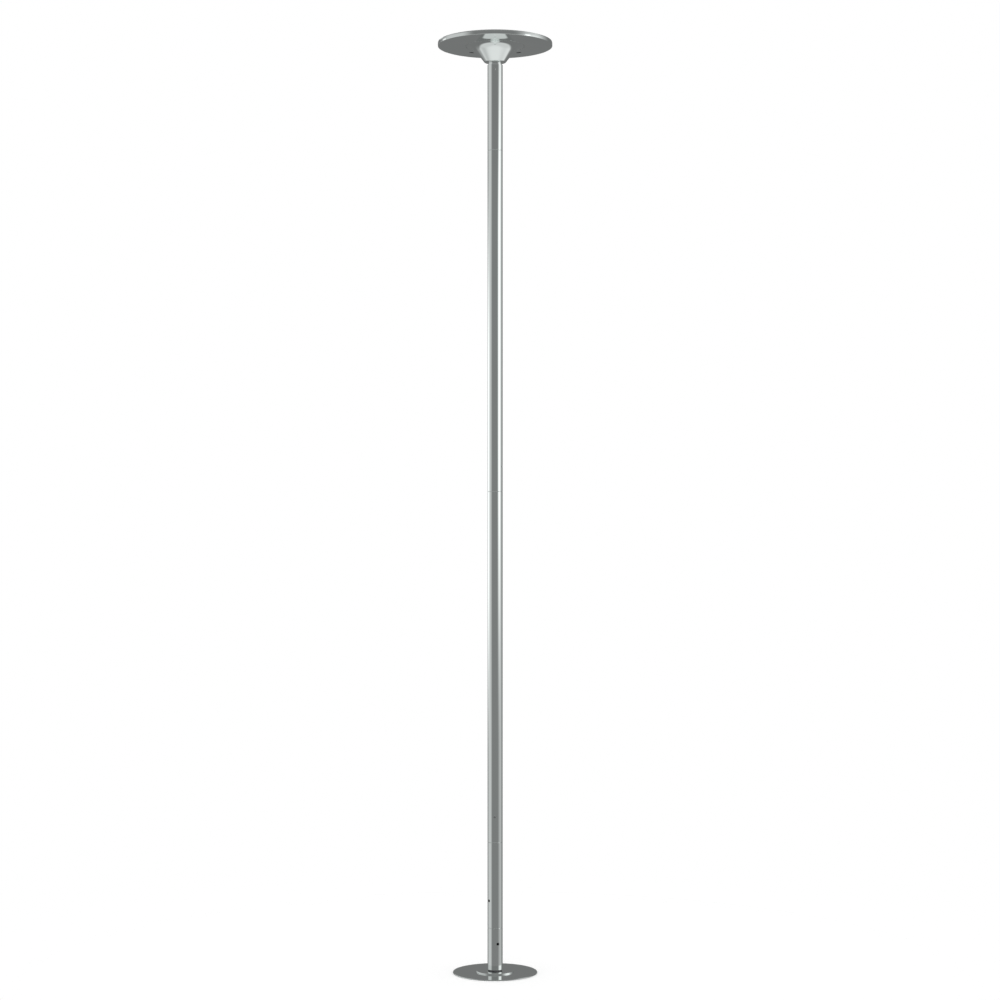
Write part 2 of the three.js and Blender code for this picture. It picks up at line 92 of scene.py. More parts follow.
class Shell:
    """Faces with a normal for every corner, in millimetres."""

    def __init__(self):
        self.keys, self.verts, self.faces, self.normals = {}, [], [], []
        self.marks = []

    def vert(self, p):
        key = (round(p[0] * 2000), round(p[1] * 2000), round(p[2] * 2000))
        if key not in self.keys:
            self.keys[key] = len(self.verts)
            self.verts.append(p)
        return self.keys[key]

    def face(self, points, normals):
        ids, nrm = [], []
        for p, n in zip(points, normals):
            i = self.vert(p)
            if i not in ids:
                ids.append(i)
                nrm.append(n)
        if len(ids) > 2:
            self.faces.append(ids)
            self.normals.append(nrm)

    def strip(self, a, b, na, nb):
        """Quads between two closed loops of points that run the same way round, b further along the surface."""
        n = len(a)
        for k in range(n):
            m = (k + 1) % n
            self.face((a[k], a[m], b[m], b[k]), (na[k], na[m], nb[m], nb[k]))

    def flat(self, a, b):
        """Like strip, with every quad flat."""
        n = len(a)
        for k in range(n):
            m = (k + 1) % n
            q = [Vector(v) for v in (a[k], a[m], b[m], b[k])]
            v = (q[1] - q[0]).cross(q[3] - q[0])
            if v.length < 1e-6:
                v = (q[2] - q[1]).cross(q[3] - q[2])
            v.normalize()
            self.face([tuple(c) for c in q], [tuple(v)] * 4)

    def ball(self, centre, radius, around=24, rings=14):
        def at(i, k):
            a, b = math.pi * i / rings - math.pi / 2, TAU * k / around
            n = (math.cos(a) * math.cos(b), math.cos(a) * math.sin(b), math.sin(a))
            return tuple(c + radius * v for c, v in zip(centre, n)), n

        for i in range(rings):
            for k in range(around):
                corners = [at(i, k), at(i, k + 1), at(i + 1, k + 1), at(i + 1, k)]
                self.face([c[0] for c in corners], [c[1] for c in corners])

    def turn(self, profile, columns=192, start=0.0, skip=None):
        """Turns a profile of (p0, n0, p1, n1) about the axis. skip(column, row) leaves quads out for a hole."""
        step = TAU / columns
        cs = [
            (math.sin(start + step * j), -math.cos(start + step * j))
            for j in range(columns)
        ]
        for row, (p0, n0, p1, n1) in enumerate(profile):
            for j in range(columns):
                if skip and skip(j, row):
                    continue
                s0, c0 = cs[j]
                s1, c1 = cs[(j + 1) % columns]
                self.face(
                    (
                        (p0[0] * s0, p0[0] * c0, p0[1]),
                        (p0[0] * s1, p0[0] * c1, p0[1]),
                        (p1[0] * s1, p1[0] * c1, p1[1]),
                        (p1[0] * s0, p1[0] * c0, p1[1]),
                    ),
                    (
                        (n0[0] * s0, n0[0] * c0, n0[1]),
                        (n0[0] * s1, n0[0] * c1, n0[1]),
                        (n1[0] * s1, n1[0] * c1, n1[1]),
                        (n1[0] * s0, n1[0] * c0, n1[1]),
                    ),
                )
        return self

    def object(self, name, material, body, replaces=(), slot=None, place=None):
        """material may be a list; self.marks then holds the first face of each further material."""
        mesh = bpy.data.meshes.new(name)
        co = np.array(self.verts, float) * MM
        normals = [n for face in self.normals for n in face]
        if place is not None:
            co = np.array([place @ Vector(c) for c in co])
            turn = place.to_3x3()
            normals = [tuple(turn @ Vector(n)) for n in normals]
        mesh.from_pydata([tuple(c) for c in co], [], self.faces)
        mesh.update()
        mesh.shade_smooth()
        mesh.normals_split_custom_set(
            [tuple(Vector(n).normalized()) for n in normals]
        )
        obj = bpy.data.objects.new(name, mesh)
        bpy.context.scene.collection.objects.link(obj)
        looks = material if isinstance(material, list) else [material]
        for look in looks:
            mesh.materials.append(look)
        for first, last, index in self.marks:
            for k in range(first, last):
                mesh.polygons[k].material_index = index
        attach(obj, body)
        if replaces:
            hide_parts(*replaces)
        return obj


def line(p0, p1):
    n = unit(p1[1] - p0[1], p0[0] - p1[0])
    return (p0, n, p1, n)


def rounded(corners, closed=True, degrees=9.0):
    """Profile through corners (r, z, radius of the rounding); outside is on the right of the way it runs."""
    pts = [(c[0], c[1]) for c in corners]
    radii = [c[2] if len(c) > 2 else 0.0 for c in corners]
    count = len(pts)
    out, starts, ends, arcs = [], {}, {}, {}
    for i in range(count):
        p = pts[i]
        if radii[i] <= 0 or (not closed and i in (0, count - 1)):
            starts[i] = ends[i] = p
            continue
        a, b = pts[i - 1], pts[(i + 1) % count]
        d1 = unit(p[0] - a[0], p[1] - a[1])
        d2 = unit(b[0] - p[0], b[1] - p[1])
        cross = d1[0] * d2[1] - d1[1] * d2[0]
        angle = math.atan2(cross, d1[0] * d2[0] + d1[1] * d2[1])
        if abs(angle) < 1e-4:
            starts[i] = ends[i] = p
            continue
        t = radii[i] * math.tan(abs(angle) / 2)
        side = 1.0 if angle > 0 else -1.0
        s = (p[0] - d1[0] * t, p[1] - d1[1] * t)
        centre = (s[0] - d1[1] * radii[i] * side, s[1] + d1[0] * radii[i] * side)
        steps = max(2, math.ceil(abs(math.degrees(angle)) / degrees))
        a0 = math.atan2(s[1] - centre[1], s[0] - centre[0])
        run = [
            (
                centre[0] + radii[i] * math.cos(a0 + angle * k / steps),
                centre[1] + radii[i] * math.sin(a0 + angle * k / steps),
            )
            for k in range(steps + 1)
        ]
        nrm = [
            unit((q[0] - centre[0]) * side, (q[1] - centre[1]) * side) for q in run
        ]
        starts[i], ends[i] = run[0], run[-1]
        arcs[i] = [(run[k], nrm[k], run[k + 1], nrm[k + 1]) for k in range(steps)]
    for i in range(count):
        if i in arcs:
            out += arcs[i]
        j = (i + 1) % count
        if j == 0 and not closed:
            break
        if math.dist(ends[i], starts[j]) > 1e-6:
            out.append(line(ends[i], starts[j]))
    return out


def split_line(profile, p0, p1, cuts, along):
    """Cuts the straight run from p0 to p1 of a profile at values of r (0) or z (1)."""
    out = []
    for seg in profile:
        a, n, b, m = seg
        if (
            abs(a[1 - along] - p0[1 - along]) < 1e-3
            and abs(b[1 - along] - p0[1 - along]) < 1e-3
            and abs(b[along] - a[along]) > 3.0
            and (b[along] - a[along]) * (p1[along] - p0[along]) > 0
        ):
            lo, hi = sorted((a[along], b[along]))
            inside = sorted(c for c in cuts if lo + 1e-3 < c < hi - 1e-3)
            if b[along] < a[along]:
                inside = inside[::-1]
            stops = [a[along], *inside, b[along]]
            for s, e in zip(stops, stops[1:]):
                q0 = (s, a[1]) if along == 0 else (a[0], s)
                q1 = (e, a[1]) if along == 0 else (a[0], e)
                out.append((q0, n, q1, m))
        else:
            out.append(seg)
    return out


def circle_loop(radius, n=48):
    return [
        (
            radius * math.cos(math.radians(-135) + TAU * k / n),
            radius * math.sin(math.radians(-135) + TAU * k / n),
        )
        for k in range(n)
    ]


def hexagon_loop(circum, n=48):
    """Six-sided loop in the same order as circle_loop."""
    out = []
    for x, y in circle_loop(1.0, n):
        turned = (math.atan2(y, x) - math.radians(-135)) % (TAU / 6) - TAU / 12
        r = circum * math.cos(TAU / 12) / math.cos(turned)
        out.append((x * r, y * r))
    return out


def stadium_loop(half, radius, n=48):
    """Long hole along the first axis, in the same order as circle_loop."""
    q = n // 4
    out = [(-half + 2 * half * k / q, -radius) for k in range(q)]
    out += [
        (
            half + radius * math.sin(math.pi * k / q),
            -radius * math.cos(math.pi * k / q),
        )
        for k in range(q)
    ]
    out += [(half - 2 * half * k / q, radius) for k in range(q)]
    out += [
        (
            -half - radius * math.sin(math.pi * k / q),
            radius * math.cos(math.pi * k / q),
        )
        for k in range(q)
    ]
    return out


def ring_patch(shell, border, loop, normal, at, rings=4, flip=False):
    """Fills between a border loop and a hole loop. at(u, v) places a point, normal(u, v) its normal."""
    last = [at(*p) for p in border]
    lastn = [normal(*p) for p in border]
    for r in range(1, rings + 1):
        t = 1 - (1 - r / rings) ** 1.6
        now = [
            (b[0] + (h[0] - b[0]) * t, b[1] + (h[1] - b[1]) * t)
            for b, h in zip(border, loop)
        ]
        pts, nrm = [at(*p) for p in now], [normal(*p) for p in now]
        if flip:
            shell.strip(pts, last, nrm, lastn)
        else:
            shell.strip(last, pts, lastn, nrm)
        last, lastn = pts, nrm


def border_loop(us, vs):
    out = [(u, vs[0]) for u in us[:-1]]
    out += [(us[-1], v) for v in vs[:-1]]
    out += [(u, vs[-1]) for u in us[:0:-1]]
    out += [(us[0], v) for v in vs[:0:-1]]
    return out


def tube(
    shell,
    z0,
    z1,
    holes,
    bevel=0.7,
    columns=144,
    outer=TUBE_R,
    inner=BORE_R,
    spread=6,
    profile=None,
    edge=0.25,
):
    """Round tube with rounded ends and radial holes (z, azimuth in degrees, radius)."""
    start = math.radians(holes[0][1]) if holes else 0.0
    step = TAU / columns
    rows, corners = 2 * spread, 8 * spread
    profile = rounded(
        profile
        or [
            (inner, z0, edge),
            (outer, z0, bevel),
            (outer, z1, bevel),
            (inner, z1, edge),
        ],
        degrees=12,
    )
    cuts = []
    for z, _, radius in holes:
        half = radius * 1.42
        cuts += [z - half + 2 * half * k / rows for k in range(rows + 1)]
    profile = split_line(profile, (outer, z0), (outer, z1), cuts, 1)
    profile = split_line(profile, (inner, z1), (inner, z0), cuts, 1)
    spans = []
    for z, az, radius in holes:
        half = radius * 1.42
        centre = round(((math.radians(az) - start) % TAU) / step)
        spans.append((z, half, centre, spread))

    def skip(j, row):
        p0, _, p1, _ = profile[row]
        if abs(p0[0] - p1[0]) > 1e-6:
            return False
        mid = (p0[1] + p1[1]) / 2
        for z, half, centre, k in spans:
            if abs(mid - z) < half and (j - (centre - k)) % columns < 2 * k:
                return True
        return False

    shell.turn(profile, columns, start, skip)
    for (z, az, radius), (_, half, centre, k) in zip(holes, spans):
        a = math.radians(az)
        us = [(-k + i) * step for i in range(2 * k + 1)]
        vs = [-half + 2 * half * i / rows for i in range(rows + 1)]
        border = border_loop(us, vs)
        chamfer = 0.35

        def on(R, outward):
            def at(u, v):
                return spot(a + u, R, z + v)

            def nrm(u, v):
                return (
                    math.sin(a + u) * outward,
                    -math.cos(a + u) * outward,
                    0.0,
                )

            return at, nrm

        def loop_on(R, rad):
            return [(math.asin(x / R), y) for x, y in circle_loop(rad, corners)]

        at, nrm = on(outer, 1.0)
        mouth = loop_on(outer, radius + chamfer)
        ring_patch(shell, border, mouth, nrm, at)
        out_dir = (math.sin(a), -math.cos(a), 0.0)
        side_dir = (math.cos(a), math.sin(a), 0.0)
        wall_n, cham_n = [], []
        for x, y in circle_loop(1.0, corners):
            inward = (-x * side_dir[0], -x * side_dir[1], -y)
            wall_n.append(inward)
            cham_n.append(tuple(i * 0.7 + o * 0.7 for i, o in zip(inward, out_dir)))
        p_mouth = [at(*p) for p in mouth]
        throat = [
            spot(a + math.asin(x / (outer - chamfer)), outer - chamfer, z + y)
            for x, y in circle_loop(radius, corners)
        ]
        shell.strip(p_mouth, throat, [nrm(*p) for p in mouth], cham_n)
        at_in, nrm_in = on(inner, -1.0)
        mouth_in = loop_on(inner, radius)
        p_in = [at_in(*p) for p in mouth_in]
        shell.strip(throat, p_in, wall_n, wall_n)
        ring_patch(shell, border, mouth_in, nrm_in, at_in, flip=True)
    return shell


def threaded(
    shell,
    crest,
    root,
    pitch,
    z0,
    z1,
    lead,
    shape,
    inner=None,
    turn=48,
    cap0=None,
    cap1=None,
):
    """A right-hand screw thread on a rod from z0 to z1. shape is the profile: (share of the pitch, 0 root to 1 crest)."""
    K = len(shape)
    first = math.floor(z0 / pitch) - 2
    last = math.ceil(z1 / pitch) + 2
    rows = [
        ((first + k // K) * pitch + shape[k % K][0] * pitch, shape[k % K][1])
        for k in range((last - first) * K)
    ]

    def point(i, j):
        w, h = rows[i]
        z = w + pitch * j / turn
        zc = min(max(z, z0), z1)
        r = root + (crest - root) * h
        limit = min(
            root - 0.4 + (zc - z0) * (crest - root + 0.4) / lead,
            root - 0.4 + (z1 - zc) * (crest - root + 0.4) / lead,
        )
        r = min(r, max(limit, root - 0.4))
        return spot(TAU * j / turn, r, zc)

    def normal(points):
        n = (Vector(points[1]) - Vector(points[0])).cross(
            Vector(points[3]) - Vector(points[0])
        )
        if n.length < 1e-9:
            n = (Vector(points[2]) - Vector(points[1])).cross(
                Vector(points[3]) - Vector(points[2])
            )
        return n.normalized() if n.length > 1e-9 else Vector((0, 0, 1))

    for i in range(len(rows) - 1):
        for j in range(turn):
            q = (point(i, j), point(i, j + 1), point(i + 1, j + 1), point(i + 1, j))
            if max(p[2] for p in q) - min(p[2] for p in q) < 1e-6 and (
                abs(q[0][2] - z0) < 1e-6 or abs(q[0][2] - z1) < 1e-6
            ):
                continue
            n = normal(q)
            # the flank's slope, turned smoothly round the axis
            mid = (j + 0.5) * TAU / turn
            radial = n.x * math.sin(mid) - n.y * math.cos(mid)
            around = n.x * math.cos(mid) + n.y * math.sin(mid)
            nrm = []
            for jj in (j, j + 1, j + 1, j):
                t = jj * TAU / turn
                nrm.append(
                    (
                        radial * math.sin(t) + around * math.cos(t),
                        -radial * math.cos(t) + around * math.sin(t),
                        n.z,
                    )
                )
            shell.face(q, nrm)
    return root - 0.4


# ---------------------------------------------------------------- materials


class Nodes:
    """Short hand for a material's node tree."""

    def __init__(self, name):
        self.mat = bpy.data.materials.new(name)
        self.mat.use_nodes = True
        self.tree = self.mat.node_tree
        self.tree.nodes.clear()
        self.out = self.tree.nodes.new("ShaderNodeOutputMaterial")
        self.bsdf = self.tree.nodes.new("ShaderNodeBsdfPrincipled")
        self.link(self.bsdf.outputs[0], self.out.inputs[0])

    def link(self, a, b):
        self.tree.links.new(a, b)

    def add(self, kind, **values):
        node = self.tree.nodes.new(kind)
        for k, v in values.items():
            if k.startswith("in_"):
                key = k[3:]
                socket = (
                    node.inputs[int(key)]
                    if key.isdigit()
                    else node.inputs[key.replace("_", " ")]
                )
                if hasattr(v, "is_linked") or isinstance(v, bpy.types.NodeSocket):
                    self.link(v, socket)
                else:
                    socket.default_value = v
            else:
                setattr(node, k, v)
        return node

    def math(self, op, a, b=0.0, c=None, clamp=False):
        node = self.tree.nodes.new("ShaderNodeMath")
        node.operation = op
        node.use_clamp = clamp
        for i, v in enumerate((a, b) if c is None else (a, b, c)):
            if isinstance(v, bpy.types.NodeSocket):
                self.link(v, node.inputs[i])
            else:
                node.inputs[i].default_value = v
        return node.outputs[0]

    def remap(self, value, a, b, c, d, smooth=True):
        node = self.add("ShaderNodeMapRange", in_1=a, in_2=b, in_3=c, in_4=d)
        node.interpolation_type = "SMOOTHSTEP" if smooth else "LINEAR"
        self.link(value, node.inputs[0])
        return node.outputs[0]

    def coords(self, scale=(1, 1, 1)):
        tc = self.add("ShaderNodeTexCoord")
        m = self.add("ShaderNodeMapping")
        m.inputs["Scale"].default_value = scale
        self.link(tc.outputs["Object"], m.inputs["Vector"])
        return m.outputs[0]

    def noise(self, scale, stretch=(1, 1, 1), detail=3.0, rough=0.5, distortion=0.0):
        n = self.add(
            "ShaderNodeTexNoise",
            in_Scale=scale,
            in_Detail=detail,
            in_Roughness=rough,
            in_Distortion=distortion,
        )
        self.link(self.coords(stretch), n.inputs["Vector"])
        return n.outputs["Fac"]

    def radius(self):
        tc = self.add("ShaderNodeTexCoord")
        sep = self.add("ShaderNodeSeparateXYZ")
        self.link(tc.outputs["Object"], sep.inputs[0])
        xx = self.math("MULTIPLY", sep.outputs[0], sep.outputs[0])
        yy = self.math("MULTIPLY", sep.outputs[1], sep.outputs[1])
        return self.math("SQRT", self.math("ADD", xx, yy)), sep.outputs[2]

    def rings(self, scale, detail=2.0, use_z=False):
        """Noise that changes only with the distance from the axis, or only with height."""
        r, z = self.radius()
        n = self.add(
            "ShaderNodeTexNoise", in_Scale=scale, in_Detail=detail, in_Roughness=0.6
        )
        n.noise_dimensions = "1D"
        self.link(z if use_z else r, n.inputs["W"])
        return n.outputs["Fac"]

    def bump(self, height, strength, distance, normal=None):
        b = self.add("ShaderNodeBump", in_Strength=strength, in_Distance=distance)
        self.link(height, b.inputs["Height"])
        if normal is not None:
            self.link(normal, b.inputs["Normal"])
        return b.outputs[0]

    def colours(self, fac, *stops):
        ramp = self.add("ShaderNodeValToRGB")
        self.link(fac, ramp.inputs[0])
        elements = ramp.color_ramp.elements
        while len(elements) < len(stops):
            elements.new(0.5)
        for e, (pos, col) in zip(elements, stops):
            e.position = pos
            e.color = (*col, 1.0)
        return ramp.outputs[0]

    def set(self, **values):
        for k, v in values.items():
            socket = self.bsdf.inputs[k.replace("_", " ")]
            if isinstance(v, bpy.types.NodeSocket):
                self.link(v, socket)
            else:
                socket.default_value = v
        return self


def chrome(name, disc):
    """Polished chrome plate: mirror with a faint haze of wiping marks, hairline scratches and polishing grain."""
    m = Nodes(name)
    cloud = m.noise(9.0, (1, 1, 0.35), 4.0, 0.55)
    wipe = m.noise(60.0, (1, 1, 0.08) if not disc else (1, 1, 1), 3.0, 0.6, 0.4)
    fine = m.rings(900.0, 3.0) if disc else m.noise(1400.0, (1, 1, 0.012), 2.0)
    scratch = m.noise(420.0, (1.0, 0.9, 0.05) if not disc else (1.0, 0.12, 1), 5.0, 0.7)
    hair = m.remap(scratch, 0.62, 0.74, 0.0, 1.0)
    haze = m.remap(cloud, 0.42, 0.75, 0.0, 1.0)
    rough = m.math("MULTIPLY_ADD", haze, 0.022, 0.028)
    rough = m.math("MULTIPLY_ADD", m.remap(wipe, 0.5, 0.8, 0.0, 1.0), 0.015, rough)
    rough = m.math("MULTIPLY_ADD", hair, 0.02, rough)
    tint = m.colours(
        cloud, (0.3, (0.835, 0.868, 0.858)), (0.7, (0.87, 0.895, 0.885))
    )
    height = m.math("MULTIPLY_ADD", hair, -0.5, fine)
    m.set(
        Base_Color=tint,
        Metallic=1.0,
        Roughness=rough,
        Normal=m.bump(height, 0.05, 0.00002),
    )
    return m.mat


def steel(name, colour, low, high, use_z=False, grain=900.0, depth=0.00006):
    """Turned or ground steel: fine tool marks round the axis, slight stain."""
    m = Nodes(name)
    rings = m.rings(grain, 3.0, use_z)
    stain = m.noise(35.0, (1, 1, 1), 4.0)
    dark = tuple(c * 0.72 for c in colour)
    col = m.colours(stain, (0.35, dark), (0.65, colour))
    rough = m.math("MULTIPLY_ADD", m.remap(stain, 0.3, 0.7, 0, 1), high - low, low)
    m.set(
        Base_Color=col,
        Metallic=1.0,
        Roughness=rough,
        Normal=m.bump(rings, 0.35, depth),
    )
    return m.mat


def black_oxide(name):
    m = Nodes(name)
    stain = m.noise(500.0, (1, 1, 1), 4.0)
    wear = m.remap(m.noise(1500.0, (1, 1, 1), 5.0, 0.65), 0.6, 0.75, 0, 1)
    mix = m.math("MULTIPLY_ADD", wear, 0.6, m.math("MULTIPLY", stain, 0.4))
    col = m.colours(
        mix,
        (0.1, (0.018, 0.018, 0.02)),
        (0.45, (0.035, 0.035, 0.037)),
        (0.95, (0.16, 0.155, 0.15)),
    )
    m.set(
        Base_Color=col,
        Metallic=0.9,
        Roughness=m.math("MULTIPLY_ADD", stain, 0.2, 0.25),
        Normal=m.bump(stain, 0.3, 0.00002),
    )
    return m.mat


def rubber(name, lift=1.0):
    m = Nodes(name)
    grain = m.noise(2600.0, (1, 1, 1), 3.0)
    dust = m.noise(24.0, (1, 1, 1), 6.0, 0.65)
    col = m.colours(
        dust,
        (0.35, (0.012 * lift, 0.012 * lift, 0.013 * lift)),
        (0.6, (0.02 * lift, 0.02 * lift, 0.021 * lift)),
        (0.8, (0.045 * lift, 0.043 * lift, 0.041 * lift)),
    )
    m.set(
        Base_Color=col,
        Roughness=m.math("MULTIPLY_ADD", dust, 0.2, 0.62),
        Normal=m.bump(grain, 0.5, 0.00012),
    )
    m.bsdf.inputs["Specular IOR Level"].default_value = 0.35
    return m.mat


def nylon(name):
    m = Nodes(name)
    stain = m.noise(60.0, (1, 1, 1), 4.0)
    col = m.colours(stain, (0.3, (0.62, 0.59, 0.52)), (0.7, (0.72, 0.7, 0.64)))
    m.set(
        Base_Color=col,
        Roughness=m.math("MULTIPLY_ADD", stain, 0.15, 0.4),
        Normal=m.bump(m.rings(1200.0), 0.2, 0.00004),
    )
    m.bsdf.inputs["Subsurface Weight"].default_value = 0.1
    m.bsdf.inputs["Subsurface Radius"].default_value = (0.002, 0.002, 0.002)
    return m.mat


def brass(name):
    m = Nodes(name)
    stain = m.noise(90.0, (1, 1, 1), 4.0)
    col = m.colours(
        stain, (0.3, (0.48, 0.33, 0.13)), (0.7, (0.66, 0.48, 0.22))
    )
    m.set(
        Base_Color=col,
        Metallic=1.0,
        Roughness=m.math("MULTIPLY_ADD", stain, 0.2, 0.18),
        Normal=m.bump(m.rings(1100.0, 3.0, True), 0.3, 0.00004),
    )
    return m.mat


CHROME_TUBE = chrome("chrome_tube", False)
CHROME_DISC = chrome("chrome_disc", True)
STEEL = steel("turned_steel", (0.56, 0.57, 0.575), 0.22, 0.4)
STEEL_Z = steel("turned_steel_side", (0.56, 0.57, 0.575), 0.22, 0.4, True)
GROUND = steel("bearing_steel", (0.72, 0.725, 0.73), 0.08, 0.2, True, 1600.0, 0.00003)
SATIN = steel("satin_steel", (0.8, 0.8, 0.795), 0.42, 0.55, True)
# dark steel for the walls of the ceiling disc's slots: painted shade inside the slots
SLOT_SHADE = steel("slot_wall_shade", (0.17, 0.175, 0.18), 0.35, 0.5)
BLACK = black_oxide("black_steel")
RUBBER = rubber("rubber")
SEAL = rubber("grey_seal", 8.0)
NYLON = nylon("nylon")
BRASS = brass("cage_brass")

LOOKS = {
    "rubber": RUBBER,
    "chrome_disc": CHROME_DISC,
    "chrome_tube": CHROME_TUBE,
    "turned_steel": STEEL_Z,
    "bearing_steel": GROUND,
    "black_steel": BLACK,
    "cage_brass": BRASS,
    "nylon": NYLON,
}
slots = {s["node"]: s["material_slot"] for s in frame["record"]["subparts"]}
for node, obj in frame["nodes"].items():
    obj.data.materials.clear()
    obj.data.materials.append(LOOKS[slots[node]])

# ---------------------------------------------------------------- camera, floor, light

camera = bpy.data.objects.new("camera", bpy.data.cameras.new("camera"))
bpy.context.scene.collection.objects.link(camera)
bpy.context.scene.camera = camera
camera.location = (0.01455, -6.558, 1.329)
camera.rotation_euler = (math.radians(90), 0, 0)
camera.data.sensor_width = 36.0
camera.data.lens = 79.49
camera.data.shift_y = 0.025
camera.data.clip_end = 100.0
bpy.context.scene.view_settings.view_transform = "Standard"


def build_world():
    """Plain white surround, and what polished metal sees: a dim studio with a few soft boxes."""
    world = bpy.data.worlds.new("studio")
    bpy.context.scene.world = world
    world.use_nodes = True
    world.cycles.sampling_method = "NONE"
    tree = world.node_tree
    tree.nodes.clear()

    def new(kind):
        return tree.nodes.new(kind)

    def calc(op, a, b=0.0, clamp=False):
        node = new("ShaderNodeMath")
        node.operation = op
        node.use_clamp = clamp
        for i, v in enumerate((a, b)):
            if isinstance(v, bpy.types.NodeSocket):
                tree.links.new(v, node.inputs[i])
            else:
                node.inputs[i].default_value = v
        return node.outputs[0]

    def fade(value, a, b, c=0.0, d=1.0):
        node = new("ShaderNodeMapRange")
        node.interpolation_type = "SMOOTHSTEP"
        tree.links.new(value, node.inputs[0])
        for i, v in enumerate((a, b, c, d), 1):
            node.inputs[i].default_value = v
        return node.outputs[0]

    tc = new("ShaderNodeTexCoord")
    sep = new("ShaderNodeSeparateXYZ")
    tree.links.new(tc.outputs["Generated"], sep.inputs[0])
    dx, dy, dz = sep.outputs
    azimuth = calc("MULTIPLY", calc("ARCTAN2", dx, calc("MULTIPLY", dy, -1.0)), 57.29578)
    height = calc("MULTIPLY", calc("ARCSINE", dz), 57.29578)

    def window(centre, half, soft):
        off = calc("ABSOLUTE", calc("WRAP", calc("SUBTRACT", azimuth, centre), 180.0))
        off.node.inputs[0].links[0].from_node.inputs[2].default_value = -180.0
        return fade(off, half + soft, half)

    def band(centre, half, soft):
        off = calc("ABSOLUTE", calc("SUBTRACT", height, centre))
        return fade(off, half + soft, half)

    def wedge(inner0, inner1, outer0, outer1):
        """Rises between two azimuths and falls between two more."""
        return calc("MULTIPLY", fade(azimuth, inner0, inner1), fade(azimuth, outer1, outer0))

    # azimuth from the camera's side, positive to the right; sizes in degrees
    around = calc("ABSOLUTE", azimuth)
    front = calc("MULTIPLY", fade(around, 80, 25), fade(height, 8, 12, 0.038, 0.018))
    steep = calc("ABSOLUTE", height)
    left = calc("MULTIPLY", wedge(-153, -103, -72, -40), 0.42)
    reach = fade(height, -12, 12, 0.31, 0.5)
    right = calc("MULTIPLY", wedge(35, 84, 90, 140), reach)
    left = calc("MULTIPLY", left, fade(steep, 48, 20))
    sides = calc("ADD", left, calc("MULTIPLY", right, fade(steep, 56, 22)))
    strip_r = calc(
        "MULTIPLY",
        calc("MULTIPLY", window(fade(height, 7.5, 12.5, 66, 82), 7, 26), band(4.5, 2.5, 8.0)),
        0.8,
    )
    strip_l = calc("MULTIPLY", calc("MULTIPLY", window(-125, 14, 24), band(1.5, 2.5, 5.5)), 0.74)
    # broad light low in front: fades to the far side, weaker on the left
    low = fade(height, -18, -36)
    near = fade(dy, 0.54, 0.32)
    far = fade(dy, 0.05, -0.4, 0.48, 0.6)
    left_share = fade(calc("MULTIPLY", dx, -1.0), 0.5, 1.0, 1.0, 0.4)
    ground = calc("MULTIPLY", calc("MULTIPLY", low, near), calc("MULTIPLY", far, left_share))
    high = calc("MULTIPLY", fade(height, 25, 60), 0.1)
    # small strong lamps that only edges and roundings catch
    lamp_r = calc("MULTIPLY", calc("MULTIPLY", window(71, 5, 9), band(-27, 6, 6)), 2.5)
    lamp_h = calc("MULTIPLY", calc("MULTIPLY", window(114, 9, 10), band(47, 9, 8)), 1.0)
    lamp_b = calc("MULTIPLY", calc("MULTIPLY", window(-149, 6, 7), band(23, 4, 6)), 0.55)
    level = band(12.7, 0.5, 0.4)
    spot_l = calc("MULTIPLY", calc("MULTIPLY", window(-124, 4, 5), level), 0.5)
    spot_r = calc("MULTIPLY", calc("MULTIPLY", window(69, 5, 3), level), 0.45)
    value = calc("ADD", 0.187, front)
    for part in (sides, ground, high, strip_r, strip_l, lamp_r, lamp_h, lamp_b, spot_l, spot_r):
        value = calc("ADD", value, part)

    tint = new("ShaderNodeMix")
    tint.data_type = "RGBA"
    tint.blend_type = "MULTIPLY"
    tint.inputs["Factor"].default_value = 1.0
    comb = new("ShaderNodeCombineColor")
    for i in range(3):
        tree.links.new(value, comb.inputs[i])
    tree.links.new(comb.outputs[0], tint.inputs[6])
    tint.inputs[7].default_value = (0.985, 1.005, 1.0, 1.0)

    path = new("ShaderNodeLightPath")
    seen, soft, mirror = (
        new("ShaderNodeBackground"),
        new("ShaderNodeBackground"),
        new("ShaderNodeBackground"),
    )
    seen.inputs[0].default_value = (1, 1, 1, 1)
    soft.inputs[0].default_value = (1, 1, 1, 1)
    soft.inputs[1].default_value = 1.06
    tree.links.new(tint.outputs[2], mirror.inputs[0])
    mix1, mix2 = new("ShaderNodeMixShader"), new("ShaderNodeMixShader")
    tree.links.new(path.outputs["Is Diffuse Ray"], mix1.inputs[0])
    tree.links.new(mirror.outputs[0], mix1.inputs[1])
    tree.links.new(soft.outputs[0], mix1.inputs[2])
    tree.links.new(path.outputs["Is Camera Ray"], mix2.inputs[0])
    tree.links.new(mix1.outputs[0], mix2.inputs[1])
    tree.links.new(seen.outputs[0], mix2.inputs[2])
    out = new("ShaderNodeOutputWorld")
    tree.links.new(mix2.outputs[0], out.inputs[0])


build_world()


